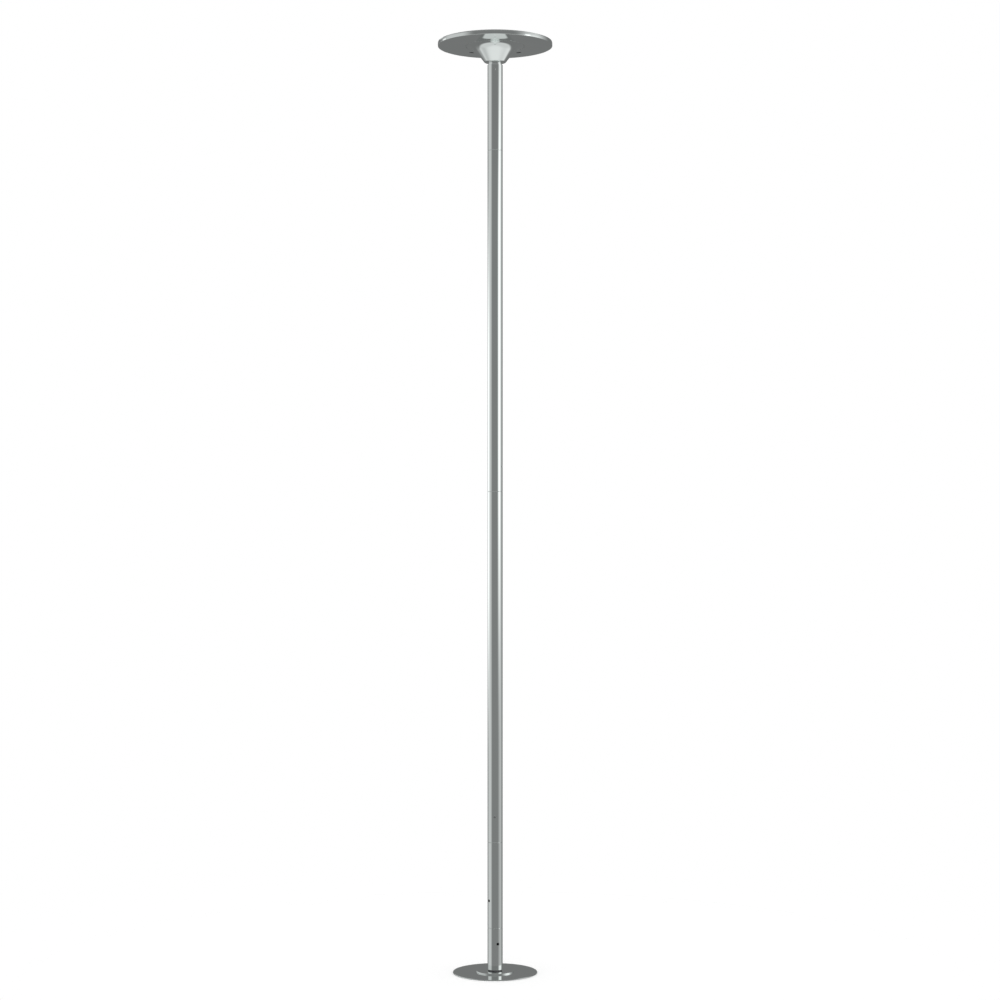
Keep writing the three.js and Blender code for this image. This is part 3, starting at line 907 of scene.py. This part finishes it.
def build_floor():
    mesh = bpy.data.meshes.new("floor")
    n, radius = 96, 2.2
    verts = [(0, 0, 0)] + [
        (radius * math.cos(TAU * k / n), radius * math.sin(TAU * k / n), 0)
        for k in range(n)
    ]
    mesh.from_pydata(verts, [], [(0, 1 + k, 1 + (k + 1) % n) for k in range(n)])
    floor = bpy.data.objects.new("floor", mesh)
    bpy.context.scene.collection.objects.link(floor)
    floor.visible_glossy = False
    floor.location = (0, 0, -0.0004)
    mat = bpy.data.materials.new("pale_floor")
    mat.use_nodes = True
    tree = mat.node_tree
    tree.nodes.clear()
    out = tree.nodes.new("ShaderNodeOutputMaterial")
    diffuse = tree.nodes.new("ShaderNodeBsdfDiffuse")
    diffuse.inputs[0].default_value = (0.97, 0.97, 0.97, 1)
    clear = tree.nodes.new("ShaderNodeBsdfTransparent")
    tc = tree.nodes.new("ShaderNodeTexCoord")
    length = tree.nodes.new("ShaderNodeVectorMath")
    length.operation = "LENGTH"
    tree.links.new(tc.outputs["Object"], length.inputs[0])
    edge = tree.nodes.new("ShaderNodeMapRange")
    edge.interpolation_type = "SMOOTHSTEP"
    edge.inputs[1].default_value = 0.25
    edge.inputs[2].default_value = radius * 0.9
    tree.links.new(length.outputs["Value"], edge.inputs[0])
    geo = tree.nodes.new("ShaderNodeNewGeometry")
    either = tree.nodes.new("ShaderNodeMath")
    either.operation = "MAXIMUM"
    tree.links.new(edge.outputs[0], either.inputs[0])
    tree.links.new(geo.outputs["Backfacing"], either.inputs[1])
    mix = tree.nodes.new("ShaderNodeMixShader")
    tree.links.new(either.outputs[0], mix.inputs[0])
    tree.links.new(diffuse.outputs[0], mix.inputs[1])
    tree.links.new(clear.outputs[0], mix.inputs[2])
    tree.links.new(mix.outputs[0], out.inputs[0])
    mesh.materials.append(mat)


build_floor()

# ---------------------------------------------------------------- floor end

base = Shell()
base.turn(
    rounded(
        [
            (6.4, 4.6, 0.1),
            (11.0, 4.6, 0.2),
            (11.0, BASE_Z, 0.3),
            (BASE_R, BASE_Z, 0.4),
            (BASE_R, BASE_TOP, 0.8),
            (STEP_R, BASE_TOP, 0.6),
            (STEP_R, STEP_TOP, 1.8),
            (6.4, STEP_TOP, 0.3),
        ]
    ),
    224,
)
base.object("base_disc", CHROME_DISC, "base", ["base_plate"], "chrome_disc")

# ---------------------------------------------------------------- tubes


def make_tube(name, node, z0, z1, holes, body):
    shell = tube(Shell(), z0, z1, holes)
    return shell.object(name, CHROME_TUBE, body, [node], "chrome_tube")


make_tube(
    "foot_section",
    "foot_tube",
    Z_FOOT,
    Z_SEAM_1 - SEAM / 2,
    [(*SPIN_LOCK, HOLE_R)],
    "adjuster",
)
make_tube(
    "section_1",
    "lower_extension_tube",
    Z_SEAM_1 + SEAM / 2,
    Z_SEAM_2 - SEAM / 2,
    [(*LOCK_A, HOLE_R)],
    "pole",
)
make_tube(
    "section_2",
    "lower_main_tube",
    Z_SEAM_2 + SEAM / 2,
    Z_SEAM_3 - SEAM / 2,
    [(*LOCK_B, FLUSH_HOLE_R)],
    "pole",
)
make_tube(
    "section_3",
    "upper_main_tube",
    Z_SEAM_3 + SEAM / 2,
    Z_SEAM_4 - SEAM / 2,
    [(*LOCK_C, FLUSH_HOLE_R)],
    "pole",
)
make_tube(
    "section_4",
    "top_extension_tube",
    Z_SEAM_4 + SEAM / 2,
    Z_POLE_TOP,
    [(*LOCK_D, FLUSH_HOLE_R), (*HOUSING_SCREW, 2.6)],
    "pole",
)

# ---------------------------------------------------------------- ceiling end


def cone_r(z):
    return 32.7 + CUP_SLOPE * (z - (Z_CUP + 2))


slope = math.atan2(1, CUP_SLOPE)
wall = CUP_T / math.sin(slope)
flange_low = Z_PLATE + PLATE_T + 0.3


def blend(corner, before, after, reach_in, reach_out, hold=0.62, steps=18):
    """Profile of a smooth turn at a corner whose curvature starts and ends gently."""
    d0 = unit(corner[0] - before[0], corner[1] - before[1])
    d1 = unit(after[0] - corner[0], after[1] - corner[1])
    p0 = (corner[0] - d0[0] * reach_in, corner[1] - d0[1] * reach_in)
    p3 = (corner[0] + d1[0] * reach_out, corner[1] + d1[1] * reach_out)
    p1 = tuple(p + (c - p) * hold for p, c in zip(p0, corner))
    p2 = tuple(p + (c - p) * hold for p, c in zip(p3, corner))
    out = []
    for k in range(steps + 1):
        t = k / steps
        u = 1 - t
        point = tuple(
            u**3 * a + 3 * u * u * t * b + 3 * u * t * t * c + t**3 * d
            for a, b, c, d in zip(p0, p1, p2, p3)
        )
        way = unit(
            *(
                u * u * (b - a) + 2 * u * t * (c - b) + t * t * (d - c)
                for a, b, c, d in zip(p0, p1, p2, p3)
            )
        )
        out.append((point, (way[1], -way[0])))
    return p0, p3, [(a[0], a[1], b[0], b[1]) for a, b in zip(out, out[1:])]


cup_corner = (cone_r(Z_PLATE), Z_PLATE)
flare_start, flare_end, flare = blend(
    cup_corner, (cone_r(Z_CUP), Z_CUP), (CUP_LIP_R, Z_PLATE), 21.0, 16.5
)
cup = Shell()
cup.turn(
    rounded(
        [(8.5, Z_CUP + 0.3), (8.5, Z_CUP, 0.3), (cone_r(Z_CUP), Z_CUP, 6.0), flare_start],
        False,
        degrees=4.5,
    )
    + flare
    + rounded(
        [
            flare_end,
            (CUP_LIP_R, Z_PLATE, 0.12),
            (CUP_LIP_R, flange_low, 0.2),
            (CUP_FLANGE_R, flange_low, 0.6),
            (CUP_FLANGE_R, flange_low + CUP_T, 0.8),
            (CUP_FLANGE_R - 12, flange_low + CUP_T, 3.0),
            (cone_r(Z_PLATE + CUP_T) - wall + 4.5, Z_PLATE + CUP_T + 0.2, FLARE),
            (cone_r(Z_CUP + CUP_T) - wall, Z_CUP + CUP_T, 3.5),
            (8.5, Z_CUP + CUP_T, 0.3),
            (8.5, Z_CUP + 0.3),
        ],
        False,
        degrees=4.5,
    ),
    192,
)
cup.object("cup", CHROME_DISC, "dome", ["dome_cup"], "chrome_disc")

COLS = 192
SLOT_R, SLOT_HALF, SLOT_END = 112.0, 4.5, 3.95
plate_profile = rounded(
    [
        (CUP_LIP_R + 0.4, Z_PLATE, 0.15),
        (PLATE_R, Z_PLATE, 0.7),
        (PLATE_R, Z_PLATE + 4.8, 12.0),
        (PLATE_R - 0.12, Z_RIM - 3.2, 4.0),
        (PLATE_R - 1.0, Z_RIM, 0.9),
        (PLATE_R - 2.9, Z_RIM, 0.8),
        (PLATE_R - PLATE_T - 0.1, Z_RIM - 3.4, 2.0),
        (PLATE_R - PLATE_T, Z_PLATE + PLATE_T, 0.8),
        (CUP_LIP_R + 0.4, Z_PLATE + PLATE_T, 0.15),
    ],
    degrees=4.5,
)
rows = 16
r_cuts = [SLOT_R - 9 + 18 * k / rows for k in range(rows + 1)]
plate_profile = split_line(plate_profile, (0, Z_PLATE), (1, Z_PLATE), r_cuts, 0)
plate_profile = split_line(
    plate_profile, (1, Z_PLATE + PLATE_T), (0, Z_PLATE + PLATE_T), r_cuts, 0
)
plate = Shell()
slot_cols = [round(math.radians(a) / (TAU / COLS)) for a in (140.6, 219.4)]


def plate_skip(j, row):
    p0, _, p1, _ = plate_profile[row]
    if abs(p0[1] - p1[1]) > 1e-6:
        return False
    if abs((p0[0] + p1[0]) / 2 - SLOT_R) > 9:
        return False
    return any((j - (c - 8)) % COLS < 16 for c in slot_cols)


plate.turn(plate_profile, COLS, 0.0, plate_skip)
for c in slot_cols:
    mid = c * TAU / COLS
    us = [(-8 + i) * TAU / COLS for i in range(17)]
    vs = [-9 + 18 * i / rows for i in range(rows + 1)]
    border = border_loop(us, vs)

    def slot_edge(extra, z):
        return [
            spot(mid + u / SLOT_R, SLOT_R + v, z)
            for u, v in stadium_loop(SLOT_HALF, SLOT_END + extra, 64)
        ]

    def in_angle(extra):
        return [
            (u / SLOT_R, v) for u, v in stadium_loop(SLOT_HALF, SLOT_END + extra, 64)
        ]

    wall_n = []
    for u, v in stadium_loop(SLOT_HALF, SLOT_END, 64):
        x = u - max(-SLOT_HALF, min(SLOT_HALF, u))
        nu, nv = unit(-x, -v)
        a = mid + u / SLOT_R
        wall_n.append(
            (
                nu * math.cos(a) + nv * math.sin(a),
                nu * math.sin(a) - nv * math.cos(a),
                0.0,
            )
        )
    down = [(0, 0, -1.0)] * 64
    up = [(0, 0, 1.0)] * 64
    ring_patch(
        plate,
        border,
        in_angle(0.4),
        lambda u, v: (0, 0, -1.0),
        lambda u, v: spot(mid + u, SLOT_R + v, Z_PLATE),
        6,
    )
    a0, a1 = slot_edge(0.4, Z_PLATE), slot_edge(0.0, Z_PLATE + 0.4)
    a2, a3 = slot_edge(0.0, Z_PLATE + PLATE_T - 0.4), slot_edge(0.4, Z_PLATE + PLATE_T)
    # the slot walls take the second material, dark steel that paints shade into the slots
    first = len(plate.faces)
    plate.strip(a0, a1, down, wall_n)
    plate.strip(a1, a2, wall_n, wall_n)
    plate.strip(a2, a3, wall_n, up)
    plate.marks.append((first, len(plate.faces), 1))
    ring_patch(
        plate,
        border,
        in_angle(0.4),
        lambda u, v: (0, 0, 1.0),
        lambda u, v: spot(mid + u, SLOT_R + v, Z_PLATE + PLATE_T),
        6,
        flip=True,
    )
plate.object(
    "ceiling_disc", [CHROME_DISC, SLOT_SHADE], "dome", ["dome_plate"], "chrome_disc"
)

def capped(shell, loop_radius, z, circum, depth, point=0.6, start_z=None):
    """End face with a six-sided socket, mouth at z, looking up."""
    rim = [(loop_radius * c, loop_radius * d, z) for c, d in circle_loop(1.0)]
    soft = circum + 0.22
    face = [(x * soft / circum, y * soft / circum, z) for x, y in hexagon_loop(circum)]
    mouth = [(x, y, z - 0.2) for x, y in hexagon_loop(circum)]
    floor = [(x, y, z - depth) for x, y in hexagon_loop(circum)]
    low = [(x * 0.86, y * 0.86, z - depth - 0.05) for x, y in circle_loop(circum * 0.86)]
    tip = [(x, y, z - depth - point) for x, y in circle_loop(0.01)]
    up = [(0, 0, 1.0)] * 48
    shell.strip(rim, face, up, up)
    shell.flat(face, mouth)
    shell.flat(mouth, floor)
    shell.strip(floor, low, up, up)
    shell.flat(low, tip)
    centre = [(0.0, 0.0, z - depth - point)] * 48
    for k in range(48):
        shell.face((tip[k], tip[(k + 1) % 48], centre[k]), ((0, 0, 1.0),) * 3)


THREAD = ((0.0, 0.0), (0.12, 0.0), (0.44, 1.0), (0.56, 1.0), (0.88, 0.0))
TRAPEZE = ((0.0, 0.0), (0.30, 0.0), (0.40, 1.0), (0.72, 1.0), (0.82, 0.0))


def set_screw(
    name, node, body, tip, tail, at, radius=3.8, circum=2.31, look=BLACK, slot="black_steel"
):
    """Socket set screw lying outwards from the pole's axis."""
    s = Shell()
    root = radius - 0.66
    neck = threaded(s, radius, root, 1.25, tip + 0.9, tail - 0.45, 0.9, THREAD)
    s.turn(
        rounded(
            [(0, tip), (radius - 1.6, tip, 0.3), (neck, tip + 0.9)], closed=False
        ),
        48,
    )
    s.turn(
        rounded([(neck, tail - 0.45), (neck, tail - 0.1), (neck - 0.1, tail)], False), 48
    )
    capped(s, neck - 0.1, tail, circum, 2.6)
    z, az = at
    place = (
        Matrix.Translation((0, 0, z * MM))
        @ Matrix.Rotation(math.radians(az - 90), 4, "Z")
        @ Matrix.Rotation(math.radians(90), 4, "Y")
    )
    return s.object(name, look, body, [node], slot, place)


def lathe(name, node, body, corners, look, slot, columns=96, closed=True, degrees=12.0):
    s = Shell().turn(rounded(corners, closed, degrees), columns)
    return s.object(name, look, body, [node], slot)


def bored(name, node, body, z0, z1, inner, hole, look, slot, outer=FIT_R, profile=None):
    s = tube(
        Shell(), z0, z1, [hole], 0.5, 144, outer, inner, 9, profile, 0.5
    )
    return s.object(name, look, body, [node], slot)


# ---- floor end

RIBS = 21
pad = [(15.0, PAD_T, 0.1), (15.0, 0.0, 0.1)]
for k in range(RIBS):
    r0 = 18.0 + k * 4.8
    pad += [(r0, 0.0, 0.08), (r0 + 0.25, 0.35, 0.08), (r0 + 1.35, 0.35, 0.08), (r0 + 1.6, 0.0, 0.08)]
pad += [(PAD_R, 0.0, 0.15), (PAD_R, PAD_T, 0.15)]
lathe("floor_pad", "base_pad", "base", pad, RUBBER, "rubber", 160)

bolt = Shell()
neck = threaded(bolt, 5.95, 5.05, 1.75, 8.5, 27.6, 1.2, THREAD)
bolt.turn(rounded([(neck, 27.6), (neck - 0.4, 28.0), (0, 28.0)], False), 48)
bolt.turn(
    rounded(
        [
            (10.6, 1.1, 0.5),
            (10.6, 4.3, 0.3),
            (5.95, 4.3, 0.4),
            (5.95, 8.0),
            (neck, 8.5),
        ],
        False,
    ),
    48,
)
under = Shell()
capped(under, 10.1, 0.0, 4.6, 2.6)
flip = len(bolt.faces)
for ids, nrm in zip(under.faces, under.normals):
    bolt.face(
        [(under.verts[i][0], -under.verts[i][1], 1.1 - under.verts[i][2]) for i in ids],
        [(n[0], -n[1], -n[2]) for n in nrm],
    )
bolt.turn([((10.1, 1.1), (0, -1.0), (10.6, 1.1), (0, -1.0))], 48)
bolt.object("post_bolt", BLACK, "base", ["base_bolt"], "black_steel")

lathe(
    "spin_post",
    "base_post",
    "base",
    [
        (0, 31.5),
        (5.4, 29.5),
        (5.4, 9.0),
        (6.4, STEP_TOP + 0.3),
        (18.0, STEP_TOP + 0.3, 0.3),
        (18.0, 12.6, 0.5),
        (12.5, 12.6, 0.3),
        (12.5, 15.7, 0.3),
        (10.0, 15.7, 0.2),
        (10.0, 71.2, 0.1),
        (8.9, 71.2, 0.1),
        (8.9, 73.0, 0.1),
        (10.0, 73.0, 0.1),
        (10.0, 101.0, 1.0),
        (0, 101.0),
    ],
    STEEL_Z,
    "turned_steel",
    closed=False,
)
lathe(
    "seal_ring",
    "post_seal",
    "base",
    [
        (18.5, STEP_TOP + 0.3, 0.2),
        (20.1, STEP_TOP + 0.3, 0.3),
        (20.1, 8.6, 0.2),
        (19.4, 9.1, 0.2),
        (20.1, 9.7, 0.3),
        (20.1, 12.5, 0.4),
        (18.5, 12.5, 0.2),
    ],
    SEAL,
    "rubber",
    128,
)
lathe(
    "race_spacer",
    "base_spacer",
    "base",
    [(10.3, 25.3, 0.3), (12.3, 25.3, 0.4), (12.3, 61.7, 0.4), (10.3, 61.7, 0.3)],
    STEEL_Z,
    "turned_steel",
)

# ---- ball bearings

BRG_W, BALL_PATH, BALL_R, GROOVE = 9.0, 14.25, 2.38, 2.5
SHOULDER = math.sqrt(GROOVE**2 - 1.65**2)


def groove(c, a0, a1, steps=14):
    out = []
    for k in range(steps):
        a, b = (math.radians(a0 + (a1 - a0) * t / steps) for t in (k, k + 1))
        p, q = (
            (BALL_PATH + GROOVE * math.cos(t), c + GROOVE * math.sin(t)) for t in (a, b)
        )
        out.append(
            (p, (-math.cos(a), -math.sin(a)), q, (-math.cos(b), -math.sin(b)))
        )
    return out


def races(tag, z, inner_body, outer_body):
    c = z + BRG_W / 2
    s = Shell()
    s.turn(
        rounded(
            [
                (12.6, c + SHOULDER),
                (12.6, z + BRG_W, 0.25),
                (10.3, z + BRG_W, 0.5),
                (10.3, z, 0.5),
                (12.6, z, 0.25),
                (12.6, c - SHOULDER),
            ],
            False,
        )
        + groove(c, 228.7, 131.3),
        96,
    )
    s.object(f"race_inner_{tag}", GROUND, inner_body, [f"{tag}_inner"], "bearing_steel")
    s = Shell()
    s.turn(
        rounded(
            [
                (15.9, c - SHOULDER),
                (15.9, z, 0.25),
                (18.5, z, 0.5),
                (18.5, z + BRG_W, 0.5),
                (15.9, z + BRG_W, 0.25),
                (15.9, c + SHOULDER),
            ],
            False,
        )
        + groove(c, 48.7, -48.7),
        112,
    )
    s.object(f"race_outer_{tag}", GROUND, outer_body, [f"{tag}_outer"], "bearing_steel")


def ball_set(tag, z, body):
    """Seven balls in a pressed ribbon cage of two wavy rings."""
    c = z + BRG_W / 2
    s = Shell()
    balls = [TAU * k / 7 for k in range(7)]
    for a in balls:
        s.ball((BALL_PATH * math.cos(a), BALL_PATH * math.sin(a), c), BALL_R)
    first = len(s.faces)
    n = 7 * 28
    for side in (1, -1):
        loops = []
        for r, dz in ((13.7, 0.0), (14.8, 0.0), (14.8, 0.42), (13.7, 0.42)):
            loop = []
            for k in range(n):
                a = TAU * k / n
                off = min(abs((a - b + math.pi) % TAU - math.pi) for b in balls)
                d = off * BALL_PATH
                wave = math.sqrt(max((BALL_R + 0.12) ** 2 - d * d, 0.0))
                h = max(wave * min(1.0, (3.2 - d) / 1.2) if d < 3.2 else 0.0, 0.03)
                loop.append((r * math.cos(a), r * math.sin(a), c + side * (h + dz)))
            loops.append(loop)
        for k in range(4):
            a, b = loops[k], loops[(k + 1) % 4]
            s.flat(a, b) if side > 0 else s.flat(b, a)
    s.marks.append((first, len(s.faces), 1))
    s.object(f"balls_{tag}", [GROUND, BRASS], body, [f"{tag}_cage"], "cage_brass")


races("base_bearing_a", 16.0, "base", "hub")
races("base_bearing_b", 62.0, "base", "hub")
races("top_bearing_a", 2676.0, "dome", "pole")
races("top_bearing_b", 2640.3, "dome", "pole")
ball_set("base_bearing_a", 16.0, "base_cages")
ball_set("base_bearing_b", 62.0, "base_cages")
ball_set("top_bearing_a", 2676.0, "top_cages")
ball_set("top_bearing_b", 2640.3, "top_cages")


def snap_ring(name, node, body, z, t=1.4):
    """Retaining ring: open, with a lug at each end."""
    n = 72
    open_half = math.radians(16.5)
    inner, outer = [], []
    for k in range(n + 1):
        a = open_half + (TAU - 2 * open_half) * k / n
        end = min(k, n - k) / n
        lug = 1.0 if end < 0.045 else 0.0
        belly = math.sin(math.pi * k / n)
        r = 9.25 + 1.5 + 1.1 * belly
        inner.append((9.27, a))
        outer.append((12.15 if lug else r, a))
    s = Shell()

    def at(r, a, zz):
        return (r * math.cos(a), r * math.sin(a), zz)

    for k in range(n):
        i0, i1, o0, o1 = inner[k], inner[k + 1], outer[k], outer[k + 1]
        quads = (
            (at(*i0, z + t), at(*o0, z + t), at(*o1, z + t), at(*i1, z + t)),
            (at(*i0, z), at(*i1, z), at(*o1, z), at(*o0, z)),
            (at(*o0, z), at(*o1, z), at(*o1, z + t), at(*o0, z + t)),
            (at(*i0, z), at(*i0, z + t), at(*i1, z + t), at(*i1, z)),
        )
        for q in quads:
            v = [Vector(p) for p in q]
            nrm = tuple((v[1] - v[0]).cross(v[2] - v[0]).normalized())
            s.face(q, (nrm,) * 4)
    for k, sign in ((0, 1), (n, -1)):
        q = (
            at(*inner[k], z),
            at(*outer[k], z),
            at(*outer[k], z + t),
            at(*inner[k], z + t),
        )
        q = q if sign > 0 else q[::-1]
        v = [Vector(p) for p in q]
        nrm = tuple((v[1] - v[0]).cross(v[2] - v[0]).normalized())
        s.face(q, (nrm,) * 4)
    s.object(name, BLACK, body, [node], "black_steel")


snap_ring("post_snap_ring", "post_circlip", "base", 71.4)
snap_ring("spindle_snap_ring", "spindle_circlip", "dome", 2638.4)

# ---- bearing hub and adjuster

lathe(
    "bearing_sleeve",
    "hub_housing",
    "hub",
    [
        (18.8, 13.4, 0.4),
        (FIT_R, 13.4, 0.5),
        (FIT_R, 75.0, 0.5),
        (16.9, 75.0, 0.4),
        (16.9, 71.3, 0.3),
        (18.8, 71.3, 0.2),
    ],
    STEEL_Z,
    "turned_steel",
    112,
)
lathe(
    "slip_washer",
    "hub_washer",
    "hub",
    [(13.0, 75.3, 0.3), (FIT_R, 75.3, 0.4), (FIT_R, 77.3, 0.4), (13.0, 77.3, 0.3)],
    NYLON,
    "nylon",
)
bored(
    "adjuster_block",
    "foot_block",
    "adjuster",
    77.6,
    131.0,
    12.6,
    (*SPIN_LOCK, HOLE_R),
    STEEL_Z,
    "turned_steel",
    profile=[
        (12.6, 77.6, 0.5),
        (FIT_R, 77.6, 0.6),
        (FIT_R, 131.0, 0.6),
        (JACK_R + 0.35, 131.0, 0.8),
        (JACK_R + 0.35, 105.7, 0.2),
        (12.6, 105.7, 0.2),
    ],
)
jack = Shell()
neck = threaded(jack, JACK_R, 12.1, JACK_PITCH, Z_JACK + 1.0, Z_JACK_TOP - 1.0, 3.0, TRAPEZE, turn=96)
jack.turn(
    rounded(
        [
            (neck, Z_JACK_TOP - 1.0),
            (neck, Z_JACK_TOP, 0.4),
            (JACK_BORE, Z_JACK_TOP, 0.3),
            (JACK_BORE, Z_JACK, 0.3),
            (neck, Z_JACK, 0.4),
            (neck, Z_JACK + 1.0),
        ],
        False,
    ),
    96,
)
jack.object("lifting_screw", STEEL_Z, "adjuster", ["jack_screw"], "turned_steel")
set_screw("spin_lock_grub", "spin_lock_screw", "spin_lock", 12.5, 20.4, SPIN_LOCK)

# ---- pole

bored(
    "lifting_nut",
    "jack_nut",
    "pole",
    Z_SEAM_1 + 0.6,
    226.0,
    JACK_R + 0.4,
    (*LOCK_A, HOLE_R),
    BRASS,
    "cage_brass",
    profile=[
        (JACK_R + 0.4, Z_SEAM_1 + 2.1),
        (JACK_R + 1.9, Z_SEAM_1 + 0.6, 0.2),
        (FIT_R, Z_SEAM_1 + 0.6, 0.4),
        (FIT_R, 226.0, 0.5),
        (JACK_R + 0.4, 226.0, 0.5),
    ],
)
for tag, (z0, z1), at in (
    ("lower", (330.0, 478.0), LOCK_B),
    ("middle", (1345.0, 1518.0), LOCK_C),
    ("upper", (2358.0, 2531.0), LOCK_D),
):
    bored(
        f"sleeve_{tag}",
        f"joiner_{tag}",
        "pole",
        z0,
        z1,
        14.0,
        (*at, FLUSH_HOLE_R),
        STEEL_Z,
        "turned_steel",
        profile=[
            (14.0, z0, 0.6),
            (FIT_R, z0, 0.6),
            (FIT_R, z1 - 1.5, 0.3),
            (FIT_R - 1.0, z1, 0.3),
            (14.0, z1, 0.6),
        ],
    )
set_screw("grub_a", "lock_screw_a", "pole", 16.2, 21.2, LOCK_A)
for tag, at in (("b", LOCK_B), ("c", LOCK_C), ("d", LOCK_D)):
    set_screw(
        f"grub_{tag}",
        f"lock_screw_{tag}",
        "pole",
        15.2,
        22.2,
        at,
        3.1,
        1.73,
        GROUND,
        "bearing_steel",
    )

bored(
    "top_sleeve",
    "top_bearing_housing",
    "pole",
    2636.0,
    2688.5,
    18.8,
    (*HOUSING_SCREW, 2.3),
    STEEL_Z,
    "turned_steel",
    profile=[
        (16.9, 2636.0, 0.4),
        (FIT_R, 2636.0, 0.5),
        (FIT_R, 2688.5, 0.5),
        (18.8, 2688.5, 0.4),
        (18.8, 2640.0, 0.2),
        (16.9, 2640.0, 0.3),
    ],
)
button = Shell()
button.turn(
    rounded(
        [
            (0, 19.0),
            (1.9, 19.0, 0.4),
            (1.9, 20.8, 0.1),
            (2.3, 20.8, 0.1),
            (2.3, 22.2, 0.5),
            (1.75, 22.6, 0.3),
            (1.45, 22.6),
        ],
        False,
    ),
    48,
)
capped(button, 1.45, 22.6, 1.05, 1.1, 0.2)
button.object(
    "button_screw",
    SATIN,
    "pole",
    ["housing_screw"],
    "bearing_steel",
    Matrix.Translation((0, 0, HOUSING_SCREW[0] * MM))
    @ Matrix.Rotation(math.radians(HOUSING_SCREW[1] - 90), 4, "Z")
    @ Matrix.Rotation(math.radians(90), 4, "Y"),
)

# ---- ceiling end

spindle = Shell()
stud = threaded(spindle, 8.0, 7.05, 1.5, Z_CUP + 0.3, 2721.0, 1.1, THREAD, turn=128)
spindle.turn(
    rounded([(stud, 2721.0), (stud, 2722.0, 0.5), (0, 2722.0)], False), 128
)
spindle.turn(
    rounded(
        [
            (0, 2634.0),
            (9.999, 2634.0, 0.8),
            (9.999, 2638.2, 0.1),
            (8.9, 2638.2, 0.1),
            (8.9, 2640.0, 0.1),
            (9.999, 2640.0, 0.1),
            (9.999, 2685.3, 0.3),
            (12.5, 2685.3, 0.3),
            (12.5, 2689.6, 0.3),
            (NECK_R, 2689.6, 0.6),
            (NECK_R, Z_CUP - 0.3, 0.4),
            (stud, Z_CUP - 0.3, 0.2),
            (stud, Z_CUP + 0.3),
        ],
        closed=False,
    ),
    128,
)
spindle.object("neck_spindle", CHROME_DISC, "dome", ["top_spindle"], "chrome_disc")
lathe(
    "spindle_spacer",
    "top_spacer",
    "dome",
    [(10.3, 2649.6, 0.3), (12.3, 2649.6, 0.4), (12.3, 2675.7, 0.4), (10.3, 2675.7, 0.3)],
    STEEL_Z,
    "turned_steel",
)
lathe(
    "cup_washer",
    "spindle_washer",
    "dome",
    [(8.5, 2704.8, 0.3), (15.0, 2704.8, 0.5), (15.0, 2706.8, 0.5), (8.5, 2706.8, 0.3)],
    STEEL,
    "turned_steel",
)


def hex_nut(name, node, body, z0, z1, circum, bore):
    """Six-sided nut with the corners turned off at both ends and a chamfered bore."""
    s = Shell()
    n = 96
    flat = circum * math.cos(math.pi / 6)

    def outline(k):
        a = math.radians(-135) + TAU * k / n
        b = (TAU * k / n) % (TAU / 6) - TAU / 12
        return a, flat / math.cos(b)

    def loop(fn):
        return [
            (fn(k)[0] * math.cos(outline(k)[0]), fn(k)[0] * math.sin(outline(k)[0]), fn(k)[1])
            for k in range(n)
        ]

    slope = 0.5
    top = loop(lambda k: (outline(k)[1], z1 - max(outline(k)[1] - flat * 0.985, 0) * slope))
    low = loop(lambda k: (outline(k)[1], z0 + max(outline(k)[1] - flat * 0.985, 0) * slope))
    top_in = loop(lambda k: (flat * 0.985, z1))
    low_in = loop(lambda k: (flat * 0.985, z0))
    bore_top, bore_low = loop(lambda k: (bore + 0.8, z1)), loop(lambda k: (bore + 0.8, z0))
    in_top, in_low = loop(lambda k: (bore, z1 - 0.8)), loop(lambda k: (bore, z0 + 0.8))
    for a, b in (
        (low_in, low),
        (low, top),
        (top, top_in),
        (top_in, bore_top),
        (bore_top, in_top),
        (in_top, in_low),
        (in_low, bore_low),
        (bore_low, low_in),
    ):
        s.flat(a, b)
    s.object(name, GROUND, body, [node], "bearing_steel")


hex_nut("stud_nut", "spindle_nut", "dome", 2707.1, 2719.1, 13.8, 8.5)

pad = [(96.0, Z_PLATE + PLATE_T + 0.3, 0.5), (165.5, Z_PLATE + PLATE_T + 0.3, 0.5), (165.5, 2764.0, 1.0)]
for k in range(9):
    r0 = 160.0 - k * 7.0
    pad += [(r0, 2764.0, 0.3), (r0 - 0.8, 2763.0, 0.3), (r0 - 2.4, 2763.0, 0.3), (r0 - 3.2, 2764.0, 0.3)]
pad += [(96.0, 2764.0, 0.8)]
lathe("grip_ring", "ceiling_pad", "dome", pad, RUBBER, "rubber", 192)
